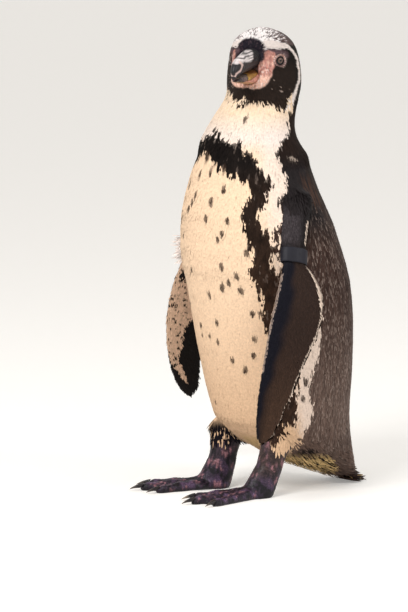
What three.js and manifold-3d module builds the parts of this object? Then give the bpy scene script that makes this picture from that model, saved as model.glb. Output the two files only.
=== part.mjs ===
// A life-size Humboldt penguin that stands upright with its head turned to its left.
// Millimetres, +Z up. The bird faces -Y and its left side is +X. The floor is Z = 0.
// The origin is the middle of the bounding box's underside.
import * as THREE from "three";
import { mergeVertices } from "three/addons/utils/BufferGeometryUtils.js";
import Module from "manifold-3d";

const wasm = await Module();
wasm.setup();

// ---------- driving dimensions ----------
const GAP = 0.3; // clearance between two pieces that touch
const NECK_TOP = 449; // height of the cut between neck and head
const NECK_FOOT = 386; // height of the cut between trunk and neck
const HEAD = { centre: [0, -6.9, 485.6], turn: 36, nod: 6 }; // turned left, nodding down
const EYE = { ahead: 18.5, out: 24.6, up: 4.6, radius: 7 }; // from the head's centre
const BILL_ROOT = 33; // from the head's centre to the front of the face
// Ankles, and how far a leg slopes back for each millimetre that it rises.
const FEET = {
  left: { x: 37, y: -29, toeOut: -2, lean: 0.37 },
  right: { x: -38, y: -38, toeOut: 17, lean: 0.2 },
};
const WING = {
  left: { abduct: 28, unbend: -38, swing: 15.5, sweep: -1, twist: 7 },
  right: { abduct: 31, unbend: -20, swing: 18.5, sweep: -41, twist: -22 },
};
const SHOULDER = { x: 62, y: -6, z: 346 };
const WING_LENGTH = 293; // from the shoulder to the tip
const BAND = { at: 0.262, height: 17, wall: 2, play: 0.8 };
const SECTOR = 25; // points round a body ring

// ---------- colours ----------
const COLOURS = {
  back: 0x2b2422,
  belly: 0xe9d3b8,
  face: 0x171214,
  bill: 0x2a2526,
  eye: 0x3a2015,
  flipper: 0x2c2623,
  foot: 0x3b2f3c,
  claw: 0x1b1719,
  band: 0x17171f,
};

// ---------- small helpers ----------
const vec = (x, y, z) => new THREE.Vector3(x, y, z);
const radians = THREE.MathUtils.degToRad;

/** A curve through rows of numbers, read at share t of the way along. */
function track(rows) {
  const width = rows[0].length;
  const curves = [];
  for (let i = 0; i < width; i += 3)
    curves.push(
      new THREE.CatmullRomCurve3(
        rows.map((r) => vec(r[i], r[i + 1] ?? 0, r[i + 2] ?? 0)),
        false,
        "centripetal",
      ),
    );
  return (t) => curves.flatMap((c) => c.getPoint(t).toArray()).slice(0, width);
}

/** Evenly spaced numbers from low to high, both included. */
const steps = (low, high, count) =>
  Array.from({ length: count + 1 }, (_, i) => low + ((high - low) * i) / count);

/** A closed oval of points: half-width to each side, and its own depth ahead and behind. */
function oval({ centre, across, ahead, side, front, back, power = 2 }, count) {
  return steps(0, 2 * Math.PI, count)
    .slice(0, count)
    .map((angle) => {
      const bend = (v) => Math.sign(v) * Math.abs(v) ** (2 / power);
      const u = bend(Math.cos(angle)) * side;
      const v = bend(Math.sin(angle));
      return centre
        .clone()
        .addScaledVector(across, u)
        .addScaledVector(ahead, v * (v > 0 ? front : back));
    });
}

/** A closed skin over rings of points, with a pole or a flat cap at each end. */
function loft(rings, startPole, endPole) {
  const count = rings[0].length;
  const middle = (ring) =>
    ring.reduce((sum, p) => sum.add(p), vec(0, 0, 0)).divideScalar(count);
  const points = [...rings.flat(), startPole ?? middle(rings[0])];
  points.push(endPole ?? middle(rings.at(-1)));
  const first = points.length - 2;
  const index = [];
  for (let k = 0; k < rings.length - 1; k++)
    for (let i = 0; i < count; i++) {
      const j = (i + 1) % count;
      const [a, b] = [k * count + i, k * count + j];
      index.push(a, b, b + count, a, b + count, a + count);
    }
  const top = (rings.length - 1) * count;
  for (let i = 0; i < count; i++) {
    const j = (i + 1) % count;
    index.push(first, j, i, first + 1, top + i, top + j);
  }
  return new THREE.BufferGeometry().setFromPoints(points).setIndex(index);
}

/** A three.js geometry as a solid that can be cut and joined. */
function solid(geometry) {
  const bare = geometry.index ? geometry.toNonIndexed() : geometry.clone();
  bare.deleteAttribute("normal");
  bare.deleteAttribute("uv");
  const merged = mergeVertices(bare, 1e-3);
  const made = new wasm.Manifold(
    new wasm.Mesh({
      numProp: 3,
      vertProperties: merged.attributes.position.array,
      triVerts: new Uint32Array(merged.index.array),
    }),
  );
  if (made.volume() > 0) return made;
  const turned = new Uint32Array(merged.index.array).reverse();
  return new wasm.Manifold(
    new wasm.Mesh({
      numProp: 3,
      vertProperties: merged.attributes.position.array,
      triVerts: turned,
    }),
  );
}

/** A solid back as a three.js geometry. */
function geometryOf(made) {
  const mesh = made.getMesh();
  const points = new Float32Array(mesh.numVert * 3);
  for (let i = 0; i < mesh.numVert; i++)
    points.set(mesh.vertProperties.subarray(i * mesh.numProp, i * mesh.numProp + 3), i * 3);
  return new THREE.BufferGeometry()
    .setAttribute("position", new THREE.BufferAttribute(points, 3))
    .setIndex(new THREE.BufferAttribute(mesh.triVerts, 1));
}

/** A box between two corners, as a solid. */
function block(low, high) {
  const size = vec(...high).sub(vec(...low));
  const box = new THREE.BoxGeometry(size.x, size.y, size.z);
  box.translate(low[0] + size.x / 2, low[1] + size.y / 2, low[2] + size.z / 2);
  return solid(box);
}

const FAR = 1000;
const above = (z) => block([-FAR, -FAR, z], [FAR, FAR, FAR]);
const below = (z) => block([-FAR, -FAR, -FAR], [FAR, FAR, z]);

/** The part of a cut solid that holds most of it. */
const largest = (made) =>
  made.decompose().reduce((best, s) => (s.volume() > best.volume() ? s : best));

// ---------- trunk, neck and head: level rings up a bent axis ----------
// x, y, z of the ring's middle, half-width, depth ahead, depth behind, turn, taper ahead.
const BODY = [
  [0, 95, 10, 18, 13, 13, 0, 2],
  [0, 88, 17, 29, 25, 25, 0, 2],
  [0, 74, 27, 39, 39, 38, 0, 2],
  [0, 59, 37, 48, 50, 50, 0, 2],
  [0, 47, 49, 57, 60, 58, 0, 2],
  [0, 35, 62, 64, 68, 67, 0, 2],
  [0, 27, 75, 70, 74, 73, 0, 2],
  [0, 20, 92, 74, 79, 78, 0, 2.05],
  [0, 16, 118, 78, 82, 82, 0, 2.1],
  [0, 13, 148, 82, 86, 86, 0, 2.1],
  [0, 10, 180, 85, 90, 89, 0, 2.1],
  [0, 5, 217, 87, 92, 92, 0, 2.1],
  [0, 0, 246, 87, 93, 92, 0, 2.1],
  [0, -8, 274, 86, 91, 91, 0, 2.1],
  [0, -14, 306, 82, 86, 86, 0, 2.05],
  [0, -19, 332, 75, 79, 80, 0, 2],
  [0, -21, 360, 66, 70, 70, 0, 2],
  [0, -21, 388, 57, 60, 61, 0, 2],
  [0, -24, 401, 52, 55, 55, 3, 2],
  [0, -21, 417, 47, 49, 49, 10, 2],
  [0, -14, 434, 43, 44, 45, 22, 2],
  [-1, -5, 450, 40.5, 44, 39.5, 33, 1.95],
  [-3, -2, 464, 42.5, 50, 39, 36, 1.75],
  [-3.5, -2, 477, 42.5, 52, 40, 36, 1.55],
  [-3.5, -2.2, 488, 41.2, 50, 41, 36, 1.5],
  [-3, -3.2, 499, 38.6, 44.5, 38.5, 36, 1.65],
  [-1.8, -4.6, 508, 34.3, 38, 34, 36, 1.85],
  [0, -6.5, 516, 27, 30, 25, 36, 2],
  [0.8, -7.5, 522, 17, 19, 16, 36, 2],
  [1.2, -7.7, 525, 7, 8, 7, 36, 2],
];
const bodyAt = track(BODY);

/** The whole column from rump to crown, as one solid, grown by a clearance. */
function column(grow = 0) {
  const rings = steps(0, 1, 41).map((share) => {
    const [x, y, z, side, front, back, turn, taper] = bodyAt(share);
    const a = radians(turn);
    return oval(
      {
        centre: vec(x, y, z),
        across: vec(Math.cos(a), Math.sin(a), 0),
        ahead: vec(Math.sin(a), -Math.cos(a), 0),
        side: side + grow,
        front: front + grow,
        back: back + grow,
        power: taper,
      },
      SECTOR,
    );
  });
  const rump = vec(0, 99, 6 - grow);
  const crown = vec(1.2, -7.7, 526 + grow);
  return solid(loft(rings, rump, crown));
}

// ---------- what sits on the head ----------
const yaw = new THREE.Matrix4()
  .makeTranslation(...HEAD.centre)
  .multiply(new THREE.Matrix4().makeRotationZ(radians(HEAD.turn)));
const pitch = yaw.clone().multiply(new THREE.Matrix4().makeRotationX(radians(HEAD.nod)));
const inHead = (made) => made.transform(yaw.toArray());
const inBill = (made) => made.transform(pitch.toArray());

function eyeball(side, grow = 0) {
  const ball = new THREE.SphereGeometry(EYE.radius + grow, 12, 8);
  ball.translate(side * EYE.out, -EYE.ahead, EYE.up);
  return inHead(solid(ball));
}

// Mandibles: place ahead of the head's centre, lower edge, upper edge, half-width.
const UPPER_BILL = [
  [26, -1.5, 23.5, 11.5],
  [36, -0.6, 22.6, 11.2],
  [46, 0.6, 21, 10.2],
  [58, 1.6, 19.8, 8.8],
  [70, 1.6, 18.6, 7.3],
  [80, 0.4, 16.4, 5.6],
  [86.5, -2.2, 12.4, 3.9],
  [90, -4.4, 6.5, 2.2],
];
const LOWER_BILL = [
  [26, -17, -1.8, 11.5],
  [38, -16.8, -0.8, 11],
  [50, -15, 0.4, 9.8],
  [62, -12.4, 1, 8.2],
  [73, -9.8, 0.6, 6.4],
  [81, -7.8, -0.8, 4.6],
  [84.5, -6.8, -2.4, 2.8],
];
const UPPER_TIP = vec(0, -90.8, -2.5);
const LOWER_TIP = vec(0, -86, -4.6);

function mandible(rows, end, grow = 0) {
  const at = track(rows.map((row) => [...row, 0, 0]));
  const rings = steps(0, 1, 12).map((share) => {
    const [ahead, low, high, side] = at(share);
    const half = (high - low) / 2 + grow;
    return oval(
      {
        centre: vec(0, -ahead, (low + high) / 2),
        across: vec(1, 0, 0),
        ahead: vec(0, 0, 1),
        side: side + grow,
        front: half,
        back: half,
        power: 2.3,
      },
      14,
    );
  });
  return inBill(solid(loft(rings, undefined, end)));
}

// ---------- flippers ----------
// Share of the way to the tip, leading edge, trailing edge, half-thickness.
const PLANFORM = [
  [0, -20, 20, 17],
  [0.14, -16, 16, 12],
  [0.262, -13.5, 13.5, 6.6],
  [0.3, -14, 21, 5.6],
  [0.345, -15.5, 33, 4.9],
  [0.4, -18, 40.5, 4.6],
  [0.47, -21, 43, 4.3],
  [0.54, -23, 40, 4],
  [0.63, -23.5, 32, 3.6],
  [0.73, -22.5, 25, 3.2],
  [0.83, -20, 20, 2.8],
  [0.915, -15, 16, 2.4],
  [0.97, -7.5, 9.5, 1.9],
];
const planformAt = track(PLANFORM.map((row) => [...row, 0, 0]));

/** The line that a flipper follows from the shoulder, with the way across it at each place. */
function wingLine(hand, pose) {
  const count = 48;
  const place = vec(hand * SHOULDER.x, SHOULDER.y, SHOULDER.z);
  return steps(0, 1, count).map((share) => {
    const out = radians(pose.abduct + pose.unbend * share);
    const fore = radians(pose.swing + pose.sweep * share);
    const along = vec(
      hand * Math.sin(out),
      -Math.sin(fore) * Math.cos(out),
      -Math.cos(fore) * Math.cos(out),
    );
    const a = radians(pose.twist);
    const wide = vec(hand * Math.sin(a), Math.cos(a), 0);
    wide.addScaledVector(along, -wide.dot(along)).normalize();
    const here = { place: place.clone(), wide, through: vec(0, 0, 0).crossVectors(along, wide) };
    place.addScaledVector(along, WING_LENGTH / count);
    return here;
  });
}

/** Rings of the blade at chosen shares along the planform's own rows. */
function bladeRings(line, shares, grow = 0) {
  return shares.map((share) => {
    const [far, lead, trail, thick] = planformAt(share);
    const at = Math.min(far, 1) * (line.length - 1);
    const low = line[Math.floor(at)];
    const high = line[Math.min(Math.floor(at) + 1, line.length - 1)];
    const centre = low.place.clone().lerp(high.place, at - Math.floor(at));
    const wide = low.wide.clone().lerp(high.wide, at - Math.floor(at)).normalize();
    const chord = (trail - lead) / 2;
    return steps(0, 2 * Math.PI, 16)
      .slice(0, 16)
      .map((angle) => {
        const c = Math.cos(angle);
        const taper = thick < 6 ? 1 - 0.4 * c : 1;
        return centre
          .clone()
          .addScaledVector(wide, (lead + trail) / 2 + c * (chord + grow))
          .addScaledVector(low.through, Math.sin(angle) * (thick * taper + grow));
      });
  });
}

function flipper(hand, pose) {
  const line = wingLine(hand, pose);
  return solid(loft(bladeRings(line, steps(0, 1, 20)), undefined, line.at(-1).place));
}

/** A plain closed ring round the narrow root of the blade, with its clearance for the flank. */
function flipperBand() {
  const line = wingLine(1, WING.left);
  const half = BAND.height / 2 / WING_LENGTH;
  const rows = [BAND.at - half, BAND.at, BAND.at + half];
  const shareOf = (far) => {
    let [low, high] = [0, 1];
    for (let i = 0; i < 30; i++) {
      const middle = (low + high) / 2;
      if (planformAt(middle)[0] < far) low = middle;
      else high = middle;
    }
    return low;
  };
  const level = planformAt(shareOf(BAND.at));
  const straight = (extra, far) =>
    far.map((place) => {
      const at = place * (line.length - 1);
      const here = line[Math.round(at)];
      const centre = line[Math.floor(at)].place
        .clone()
        .lerp(line[Math.floor(at) + 1].place, at - Math.floor(at));
      const [, lead, trail, thick] = level;
      return steps(0, 2 * Math.PI, 16)
        .slice(0, 16)
        .map((angle) =>
          centre
            .clone()
            .addScaledVector(here.wide, (lead + trail) / 2)
            .addScaledVector(here.wide, Math.cos(angle) * ((trail - lead) / 2 + extra))
            .addScaledVector(here.through, Math.sin(angle) * (thick + extra)),
        );
    });
  const longer = [rows[0] - 0.02, rows[1], rows[2] + 0.02];
  return {
    outer: solid(loft(straight(BAND.play + BAND.wall, rows))),
    inner: solid(loft(straight(BAND.play, longer))),
    room: solid(loft(straight(BAND.play + BAND.wall + GAP, longer))),
    core: solid(loft(straight(BAND.play - GAP, [rows[0] - 0.03, rows[1], rows[2] + 0.03]))),
  };
}

// ---------- legs and feet ----------
// Rings down the leg: z, half-width, depth ahead, depth behind.
const LEG = [
  [80, 20, 24, 21],
  [62, 17.5, 21, 18.5],
  [46, 15, 19, 16.5],
  [34, 13.5, 19, 15.5],
];
const TARSUS = [
  [33.7, 13.5, 19, 15.5],
  [24, 13.5, 22, 15],
  [14, 14, 26, 14.5],
  [6, 14.5, 29, 14],
  [-2, 14.5, 30, 12.5],
];
const ANKLE_AHEAD = 3; // how far the leg's line meets the floor ahead of the ankle
// Toes from the ankle: root x, y, tip x, y, radius at the root, radius at the tip.
const TOES = {
  inner: [-7, -26, -19, -79, 7.4, 5.2],
  middle: [1, -28, 2, -92, 8.2, 5.4],
  outer: [8, -24, 25, -78, 7.4, 5.2],
};
const HIND_TOE = [-12, -14, -17, -30, 3.8, 2.6];
const TOE_SQUASH = 0.85; // a toe is lower than it is wide
const TOE_SINK = 1.2; // how much of the toe's round is cut off to make the sole
const CLAW_LENGTH = 17;

function legPiece(rows, lean) {
  const at = track(rows.map((row) => [...row, 0, 0]));
  const rings = steps(0, 1, 8).map((share) => {
    const [z, side, front, back] = at(share);
    const centre = vec(0, lean * z - ANKLE_AHEAD, z);
    return oval({ centre, across: vec(1, 0, 0), ahead: vec(0, -1, 0), side, front, back }, 14);
  });
  return solid(loft(rings));
}

/** A toe: thick at the knuckle, thin between, thick again and rounded at the tip. */
function toe([x0, y0, x1, y1, r0, r1], rise = 0) {
  const swell = [0, 0.3, 0.5, 0.72, 0.9, 1];
  const bulge = [1.02, 0.93, 1.05, 0.93, 1.08, 0.75];
  const along = vec(x1 - x0, y1 - y0, 0).normalize();
  const across = vec(-along.y, along.x, 0);
  const rings = swell.map((t, i) => {
    const r = (r0 + (r1 - r0) * t) * bulge[i];
    const centre = vec(x0 + (x1 - x0) * t, y0 + (y1 - y0) * t, rise + r * TOE_SQUASH - TOE_SINK);
    return oval({ centre, across, ahead: vec(0, 0, 1), side: r, front: r, back: r }, 8);
  });
  const end = vec(x1, y1, rise + r1 * 0.7 * TOE_SQUASH - TOE_SINK / 2);
  return solid(loft(rings, undefined, end.addScaledVector(along, r1 * 0.5)));
}

/** A curved cone that leaves the toe's tip, bends down and stops just over the floor. */
function claw([x0, y0, x1, y1, , r1]) {
  const along = vec(x1 - x0, y1 - y0, 0).normalize();
  const across = vec(-along.y, along.x, 0);
  const rings = steps(0, 0.92, 5).map((t) => {
    const r = r1 * 0.62 * (1 - t) ** 0.75;
    const centre = vec(x1, y1, r1 * 0.95 + 0.6 - t * t * 3.6);
    centre.addScaledVector(along, t * CLAW_LENGTH - 2);
    return oval({ centre, across, ahead: vec(0, 0, 1), side: r, front: r, back: r }, 7);
  });
  const end = vec(x1, y1, 1.4).addScaledVector(along, CLAW_LENGTH - 2);
  return solid(loft(rings, undefined, end));
}

/** The web, a plate between the toes whose front edge is scalloped. */
function web() {
  const { inner, middle, outer } = TOES;
  const shape = new THREE.Shape();
  shape.moveTo(inner[0], inner[1]);
  shape.lineTo(inner[2], inner[3]);
  shape.quadraticCurveTo(-8, -72, middle[2] - 1, middle[3] + 5);
  shape.lineTo(middle[2] + 1, middle[3] + 5);
  shape.quadraticCurveTo(12, -72, outer[2], outer[3]);
  shape.lineTo(outer[0], outer[1]);
  shape.closePath();
  return solid(
    new THREE.ExtrudeGeometry(shape, { depth: 3.6, bevelEnabled: false, curveSegments: 4 }),
  );
}

/** Turns and places what belongs to one foot. */
function onFoot(made, name) {
  const { x, y, toeOut } = FEET[name];
  const hand = Math.sign(x);
  const place = new THREE.Matrix4()
    .makeTranslation(x, y, 0)
    .multiply(new THREE.Matrix4().makeRotationZ(radians(hand * toeOut)));
  return (hand > 0 ? made : made.mirror([1, 0, 0])).transform(place.toArray());
}

// ---------- tail ----------
// Rings back along the tail: y, z of the middle, half-width, half-thickness, slope in degrees.
const TAIL = [
  [88, 30, 22, 15, 62],
  [98, 17, 24, 11, 56],
  [107, 8, 23, 7, 42],
  [117, 2.6, 19, 4, 24],
  [126, 0.6, 12, 2.4, 10],
  [130, 0.2, 6, 1.8, 4],
];

function tail() {
  const at = track(TAIL.map((row) => [...row, 0]));
  const rings = steps(0, 1, 10).map((share) => {
    const [y, z, side, thick, slope] = at(share);
    const a = radians(slope);
    return oval(
      {
        centre: vec(0, y, z),
        across: vec(1, 0, 0),
        ahead: vec(0, Math.sin(a), Math.cos(a)),
        side,
        front: thick,
        back: thick,
        power: 2.4,
      },
      16,
    );
  });
  return solid(loft(rings));
}

// ---------- the whole bird ----------
const whole = column();
const grown = column(GAP);
const band = flipperBand();
const upperBill = mandible(UPPER_BILL, UPPER_TIP);
const upperRoom = mandible(UPPER_BILL, UPPER_TIP, GAP + 0.1);
const lowerBill = mandible(LOWER_BILL, LOWER_TIP).subtract(upperRoom);
const billRoom = upperRoom
  .add(mandible(LOWER_BILL, LOWER_TIP, GAP + 0.1))
  .add(inBill(block([-9, -FAR, -4], [9, -BILL_ROOT, 3])));
const faceCut = inBill(block([-60, -FAR, -FAR], [60, -BILL_ROOT, FAR]));
const billRoot = inBill(block([-60, -FAR, -60], [60, -BILL_ROOT - GAP, 60]));
const sockets = eyeball(1, GAP).add(eyeball(-1, GAP));

const pieces = [];
const add = (name, made, colour, roughness = 0.8) =>
  pieces.push({ name, made: largest(made), colour, roughness });

add("trunk", whole.intersect(below(NECK_FOOT)).subtract(band.room), COLOURS.back);
add("neck", whole.intersect(above(NECK_FOOT + GAP)).intersect(below(NECK_TOP)), COLOURS.belly);
add(
  "head",
  whole
    .intersect(above(NECK_TOP + GAP))
    .subtract(sockets)
    .subtract(billRoom.intersect(faceCut)),
  COLOURS.face,
);
add("bill_upper", upperBill.intersect(billRoot), COLOURS.bill, 0.35);
add("bill_lower", lowerBill.intersect(billRoot), COLOURS.bill, 0.35);
add("tail", tail().intersect(above(0)).subtract(grown), COLOURS.back);
for (const [name, hand] of [["left", 1], ["right", -1]]) {
  const { lean } = FEET[name];
  const blade = flipper(hand, WING[name]).subtract(grown);
  const banded = name === "left" ? blade.subtract(band.room.subtract(band.core)) : blade;
  const toes = [...Object.values(TOES).map((row) => toe(row)), toe(HIND_TOE, 3)];
  const foot = toes.reduce((sum, one) => sum.add(one), legPiece(TARSUS, lean).add(web()));
  add(`eye_${name}`, eyeball(hand), COLOURS.eye, 0.1);
  add(`flipper_${name}`, banded, COLOURS.flipper, 0.6);
  add(`leg_${name}`, onFoot(legPiece(LEG, lean), name).subtract(grown), COLOURS.foot);
  add(`foot_${name}`, onFoot(foot.intersect(above(0)), name), COLOURS.foot, 0.6);
  for (const [toeName, row] of Object.entries(TOES)) {
    const room = toe([...row.slice(0, 4), row[4] + GAP, row[5] + GAP]);
    const nail = claw(row).subtract(room);
    add(`claw_${name}_${toeName}`, onFoot(nail, name), COLOURS.claw, 0.3);
  }
}
add("flipper_band", band.outer.subtract(band.inner), COLOURS.band, 0.35);

const penguin = new THREE.Group();
for (const { name, made, colour, roughness } of pieces) {
  const skin = new THREE.MeshStandardMaterial({ color: colour, roughness, metalness: 0 });
  const mesh = new THREE.Mesh(geometryOf(made), skin);
  mesh.name = name;
  penguin.add(mesh);
}
const bounds = new THREE.Box3().setFromObject(penguin);
const middle = bounds.getCenter(vec(0, 0, 0));
penguin.position.set(-middle.x, -middle.y, -bounds.min.z);

export default penguin;
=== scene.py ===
# %% [markdown]
# # A Humboldt penguin, life size, as a museum would show it
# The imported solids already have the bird's true outline. This lesson dresses them: one skin under
# a coat of real feather vanes, a horn bill, eyes, claws, and the worn band on the left flipper.
# Every mesh is in metres and in the frame of the solids, so no piece is fitted by eye. Places on
# the bird are reckoned in millimetres, because its feathers and folds are that small.

import math

import bmesh
import bpy
import numpy as np
from mathutils import Matrix, Vector
from mathutils.bvhtree import BVHTree


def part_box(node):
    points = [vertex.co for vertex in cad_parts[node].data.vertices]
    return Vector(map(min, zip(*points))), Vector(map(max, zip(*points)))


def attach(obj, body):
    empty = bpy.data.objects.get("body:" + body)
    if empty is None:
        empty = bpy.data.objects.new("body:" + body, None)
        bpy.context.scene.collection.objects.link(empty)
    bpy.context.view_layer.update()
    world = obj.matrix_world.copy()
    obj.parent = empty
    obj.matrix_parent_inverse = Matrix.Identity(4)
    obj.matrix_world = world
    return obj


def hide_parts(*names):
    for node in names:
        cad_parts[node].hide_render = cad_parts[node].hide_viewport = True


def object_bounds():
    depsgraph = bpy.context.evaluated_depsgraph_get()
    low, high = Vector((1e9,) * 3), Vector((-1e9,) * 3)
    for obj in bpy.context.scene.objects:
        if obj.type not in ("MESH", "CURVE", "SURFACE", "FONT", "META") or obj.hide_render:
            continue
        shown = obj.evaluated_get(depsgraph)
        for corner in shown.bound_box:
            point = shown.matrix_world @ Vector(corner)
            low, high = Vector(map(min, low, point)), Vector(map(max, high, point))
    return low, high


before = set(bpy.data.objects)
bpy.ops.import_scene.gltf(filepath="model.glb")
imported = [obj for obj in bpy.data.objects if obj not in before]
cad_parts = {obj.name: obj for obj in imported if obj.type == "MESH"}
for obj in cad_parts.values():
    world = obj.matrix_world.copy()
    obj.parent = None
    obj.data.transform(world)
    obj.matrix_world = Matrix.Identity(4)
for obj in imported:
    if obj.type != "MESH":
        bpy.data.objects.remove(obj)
cad_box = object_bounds()
MM = 0.001
print("nodes:", len(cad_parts), "box:", [round(v, 4) for corner in cad_box for v in corner])

# %% [markdown]
# ## Camera, floor and light
# The bird is seen from its left front, a little from above and from far off, so a long lens keeps
# its proportions. Two broad soft lamps and an even sky show each colour about as it is written.

# %% Small helpers for objects
def placed(name, data):
    """A new object in the scene, which holds a mesh, a lamp or a camera."""
    thing = bpy.data.objects.new(name, data)
    bpy.context.scene.collection.objects.link(thing)
    return thing


def mesh_of(bm, name):
    """Writes a finished bmesh to a new mesh, and lets go of it."""
    mesh = bpy.data.meshes.new(name)
    bm.to_mesh(mesh)
    bm.free()
    return mesh


def heading(turn, lift):
    """The way from the bird towards something at a turn and a lift, in degrees."""
    turn, lift = math.radians(turn), math.radians(lift)
    flat = math.cos(lift)
    return Vector((math.sin(turn) * flat, -math.cos(turn) * flat, math.sin(lift)))


def aimed(thing, middle, away, reach):
    """Puts a lamp or a camera at a distance from a middle, and turns it to look back at it."""
    thing.location = middle + away * reach
    thing.rotation_euler = away.to_track_quat("Z", "Y").to_euler()


# %% The camera
VIEW_TURN, VIEW_LIFT = 58, 8
VIEW_REACH = 4.5
LENS = 234.2
left_eye = sum(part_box("eye_left"), Vector()) / 2
AIM = left_eye + Vector((-0.0685, -0.0530, -0.2802))
camera_data = bpy.data.cameras.new("camera")
camera_data.lens = LENS
camera_data.sensor_width = 36
camera_data.clip_end = 50
camera = placed("camera", camera_data)
aimed(camera, AIM, heading(VIEW_TURN, VIEW_LIFT), VIEW_REACH)
bpy.context.scene.camera = camera
bpy.context.scene.view_settings.view_transform = "Standard"
print("camera at", [round(v, 3) for v in camera.location])

# %% [markdown]
# Every finish below is a small tree of nodes. Building one by hand takes many lines, so a few
# helpers make a node, set it and wire it in one line, and keep each finish short enough to read.


# %% Small helpers for node materials
def wire(tree, made, values):
    """Writes numbers into a node's sockets, or links other nodes' outputs to them."""
    for key, value in values.items():
        if isinstance(value, bpy.types.Node):
            value = value.outputs[0]
        if isinstance(value, bpy.types.NodeSocket):
            tree.links.new(value, made.inputs[key])
        else:
            made.inputs[key].default_value = value


def node(tree, kind, values=None, **settings):
    """Adds a node, sets its properties, and wires its sockets."""
    made = tree.nodes.new("ShaderNode" + kind)
    for key, value in settings.items():
        setattr(made, key, value)
    wire(tree, made, values or {})
    return made


def maths(tree, operation, *values):
    """A Math node of some numbers or other nodes."""
    return node(tree, "Math", dict(enumerate(values)), operation=operation)


def new_material(name):
    """A material with an empty node tree but for its shader and output."""
    material = bpy.data.materials.new(name)
    material.use_nodes = True
    tree = material.node_tree
    tree.nodes.clear()
    output = tree.nodes.new("ShaderNodeOutputMaterial")
    shader = tree.nodes.new("ShaderNodeBsdfPrincipled")
    wire(tree, output, {"Surface": shader})
    return material, tree, shader


def own_place(tree):
    """Where a point lies on its piece, for patterns that stay with the piece."""
    return node(tree, "TexCoord").outputs["Object"]


def noise(tree, place, scale, detail=2.0):
    """A cloudy pattern; a greater scale makes finer clouds."""
    return node(tree, "TexNoise", {"Vector": place, "Scale": scale, "Detail": detail})


def two_tints(tree, share, first, second):
    """Blends two colours by a pattern."""
    colours = {"Fac": share, "Color1": paint(first), "Color2": paint(second)}
    return node(tree, "MixRGB", colours)


def linear(colour):
    """A colour as it is seen, 0 to 255, turned into the light that a shader works in."""
    share = np.asarray(colour, float) / 255
    return np.where(share <= 0.04045, share / 12.92, ((share + 0.055) / 1.055) ** 2.4)


def paint(colour):
    """The same colour with its alpha, for a socket."""
    return (*[float(v) for v in linear(colour)], 1.0)


print("helpers ready")

# %% [markdown]
# A museum would light the bird evenly. The floor and the room behind are pale because rays that
# look at them, straight or by reflection, meet a pale glow. The light that falls on the bird comes
# from the lamps and a weaker sky alone, so its own colours keep their strength.

# %% The studio
FLOOR_GLOW = 0.3
SKY_LIGHT = 0.6


def looked_at(tree):
    """1 for rays that look at the studio, straight or by reflection, and 0 for its light."""
    rays = node(tree, "LightPath").outputs
    either = maths(tree, "MAXIMUM", rays["Is Camera Ray"], rays["Is Glossy Ray"])
    return maths(tree, "MAXIMUM", either, rays["Is Transmission Ray"])


floor_material, tree, shader = new_material("studio_floor")
grain = noise(tree, own_place(tree), 60.0)
tint = two_tints(tree, grain, (236, 234, 230), (242, 240, 237))
glow = maths(tree, "MULTIPLY", looked_at(tree), FLOOR_GLOW)
wire(tree, shader, {"Base Color": tint, "Emission Color": tint, "Emission Strength": glow})
wire(tree, shader, {"Roughness": 0.8})
bm = bmesh.new()
bmesh.ops.create_circle(bm, cap_ends=True, segments=96, radius=9.0)
mesh = mesh_of(bm, "floor")
mesh.materials.append(floor_material)
floor = placed("floor", mesh)

world = bpy.data.worlds.new("studio")
bpy.context.scene.world = world
world.use_nodes = True
sky = world.node_tree
sky.nodes.clear()
even = node(sky, "Background", {"Color": paint((255, 252, 248)), "Strength": SKY_LIGHT})
backdrop = node(sky, "Background", {"Color": paint((238, 236, 233)), "Strength": 1.0})
both = node(sky, "MixShader", {0: looked_at(sky), 1: even, 2: backdrop})
node(sky, "OutputWorld", {"Surface": both})


def soft_lamp(name, turn, lift, reach, size, watts):
    """An area lamp at an angle round the bird, aimed at the middle of its body."""
    data = bpy.data.lights.new(name, "AREA")
    data.shape = "DISK"
    data.size = size
    data.energy = watts
    aimed(placed(name, data), Vector((0, 0, 0.25)), heading(turn, lift), reach)


soft_lamp("key_lamp", 28, 42, 2.2, 0.9, 30)
soft_lamp("side_lamp", 118, 30, 2.4, 1.0, 16)
print("studio ready")

# %% [markdown]
# ## The bird's own measures
# Feather markings are easiest to place in the bird's own terms: the angle round the body from the
# middle of the breast, the height above the floor, the angle and height round the turned head,
# and the share of the way along a flipper. These helpers turn points into those terms.

# %% Where the bird's middle line is
HEAD_TURN = math.radians(36)
HEAD_NOD = math.radians(6)
EYE_AHEAD, EYE_OUT, EYE_UP = 18.5, 24.6, 4.6
HEAD_MIDDLE = np.array([0, -6.9, 485.6])
HEAD_AHEAD = np.array([math.sin(HEAD_TURN), -math.cos(HEAD_TURN), 0])
HEAD_LEFT = np.array([math.cos(HEAD_TURN), math.sin(HEAD_TURN), 0])
UP = np.array([0, 0, 1.0])
EYE_PLACE = HEAD_MIDDLE + HEAD_AHEAD * EYE_AHEAD + HEAD_LEFT * EYE_OUT + UP * EYE_UP
EYES = {
    "left": (EYE_PLACE, 1),
    "right": (EYE_PLACE - HEAD_LEFT * EYE_OUT * 2, -1),
}
MIDDLE_LINE = np.array(left_eye) - EYE_PLACE * MM


def in_bird(points):
    """Points of the frame, in millimetres from the bird's middle line on the floor."""
    return (np.asarray(points, float) - MIDDLE_LINE) / MM


def in_frame(points):
    """The way back, to metres of the frame."""
    return np.asarray(points, float) * MM + MIDDLE_LINE


print("middle line at", MIDDLE_LINE.round(5))

# %% Angle round the body
# Height, and how far back the middle of the body is at that height.
SPINE = [(10, 95), (27, 74), (49, 47), (75, 27), (118, 16), (180, 10), (246, 0), (306, -14)]
SPINE += [(360, -21), (417, -21), (434, -14), (464, -2), (526, -7)]
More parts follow.
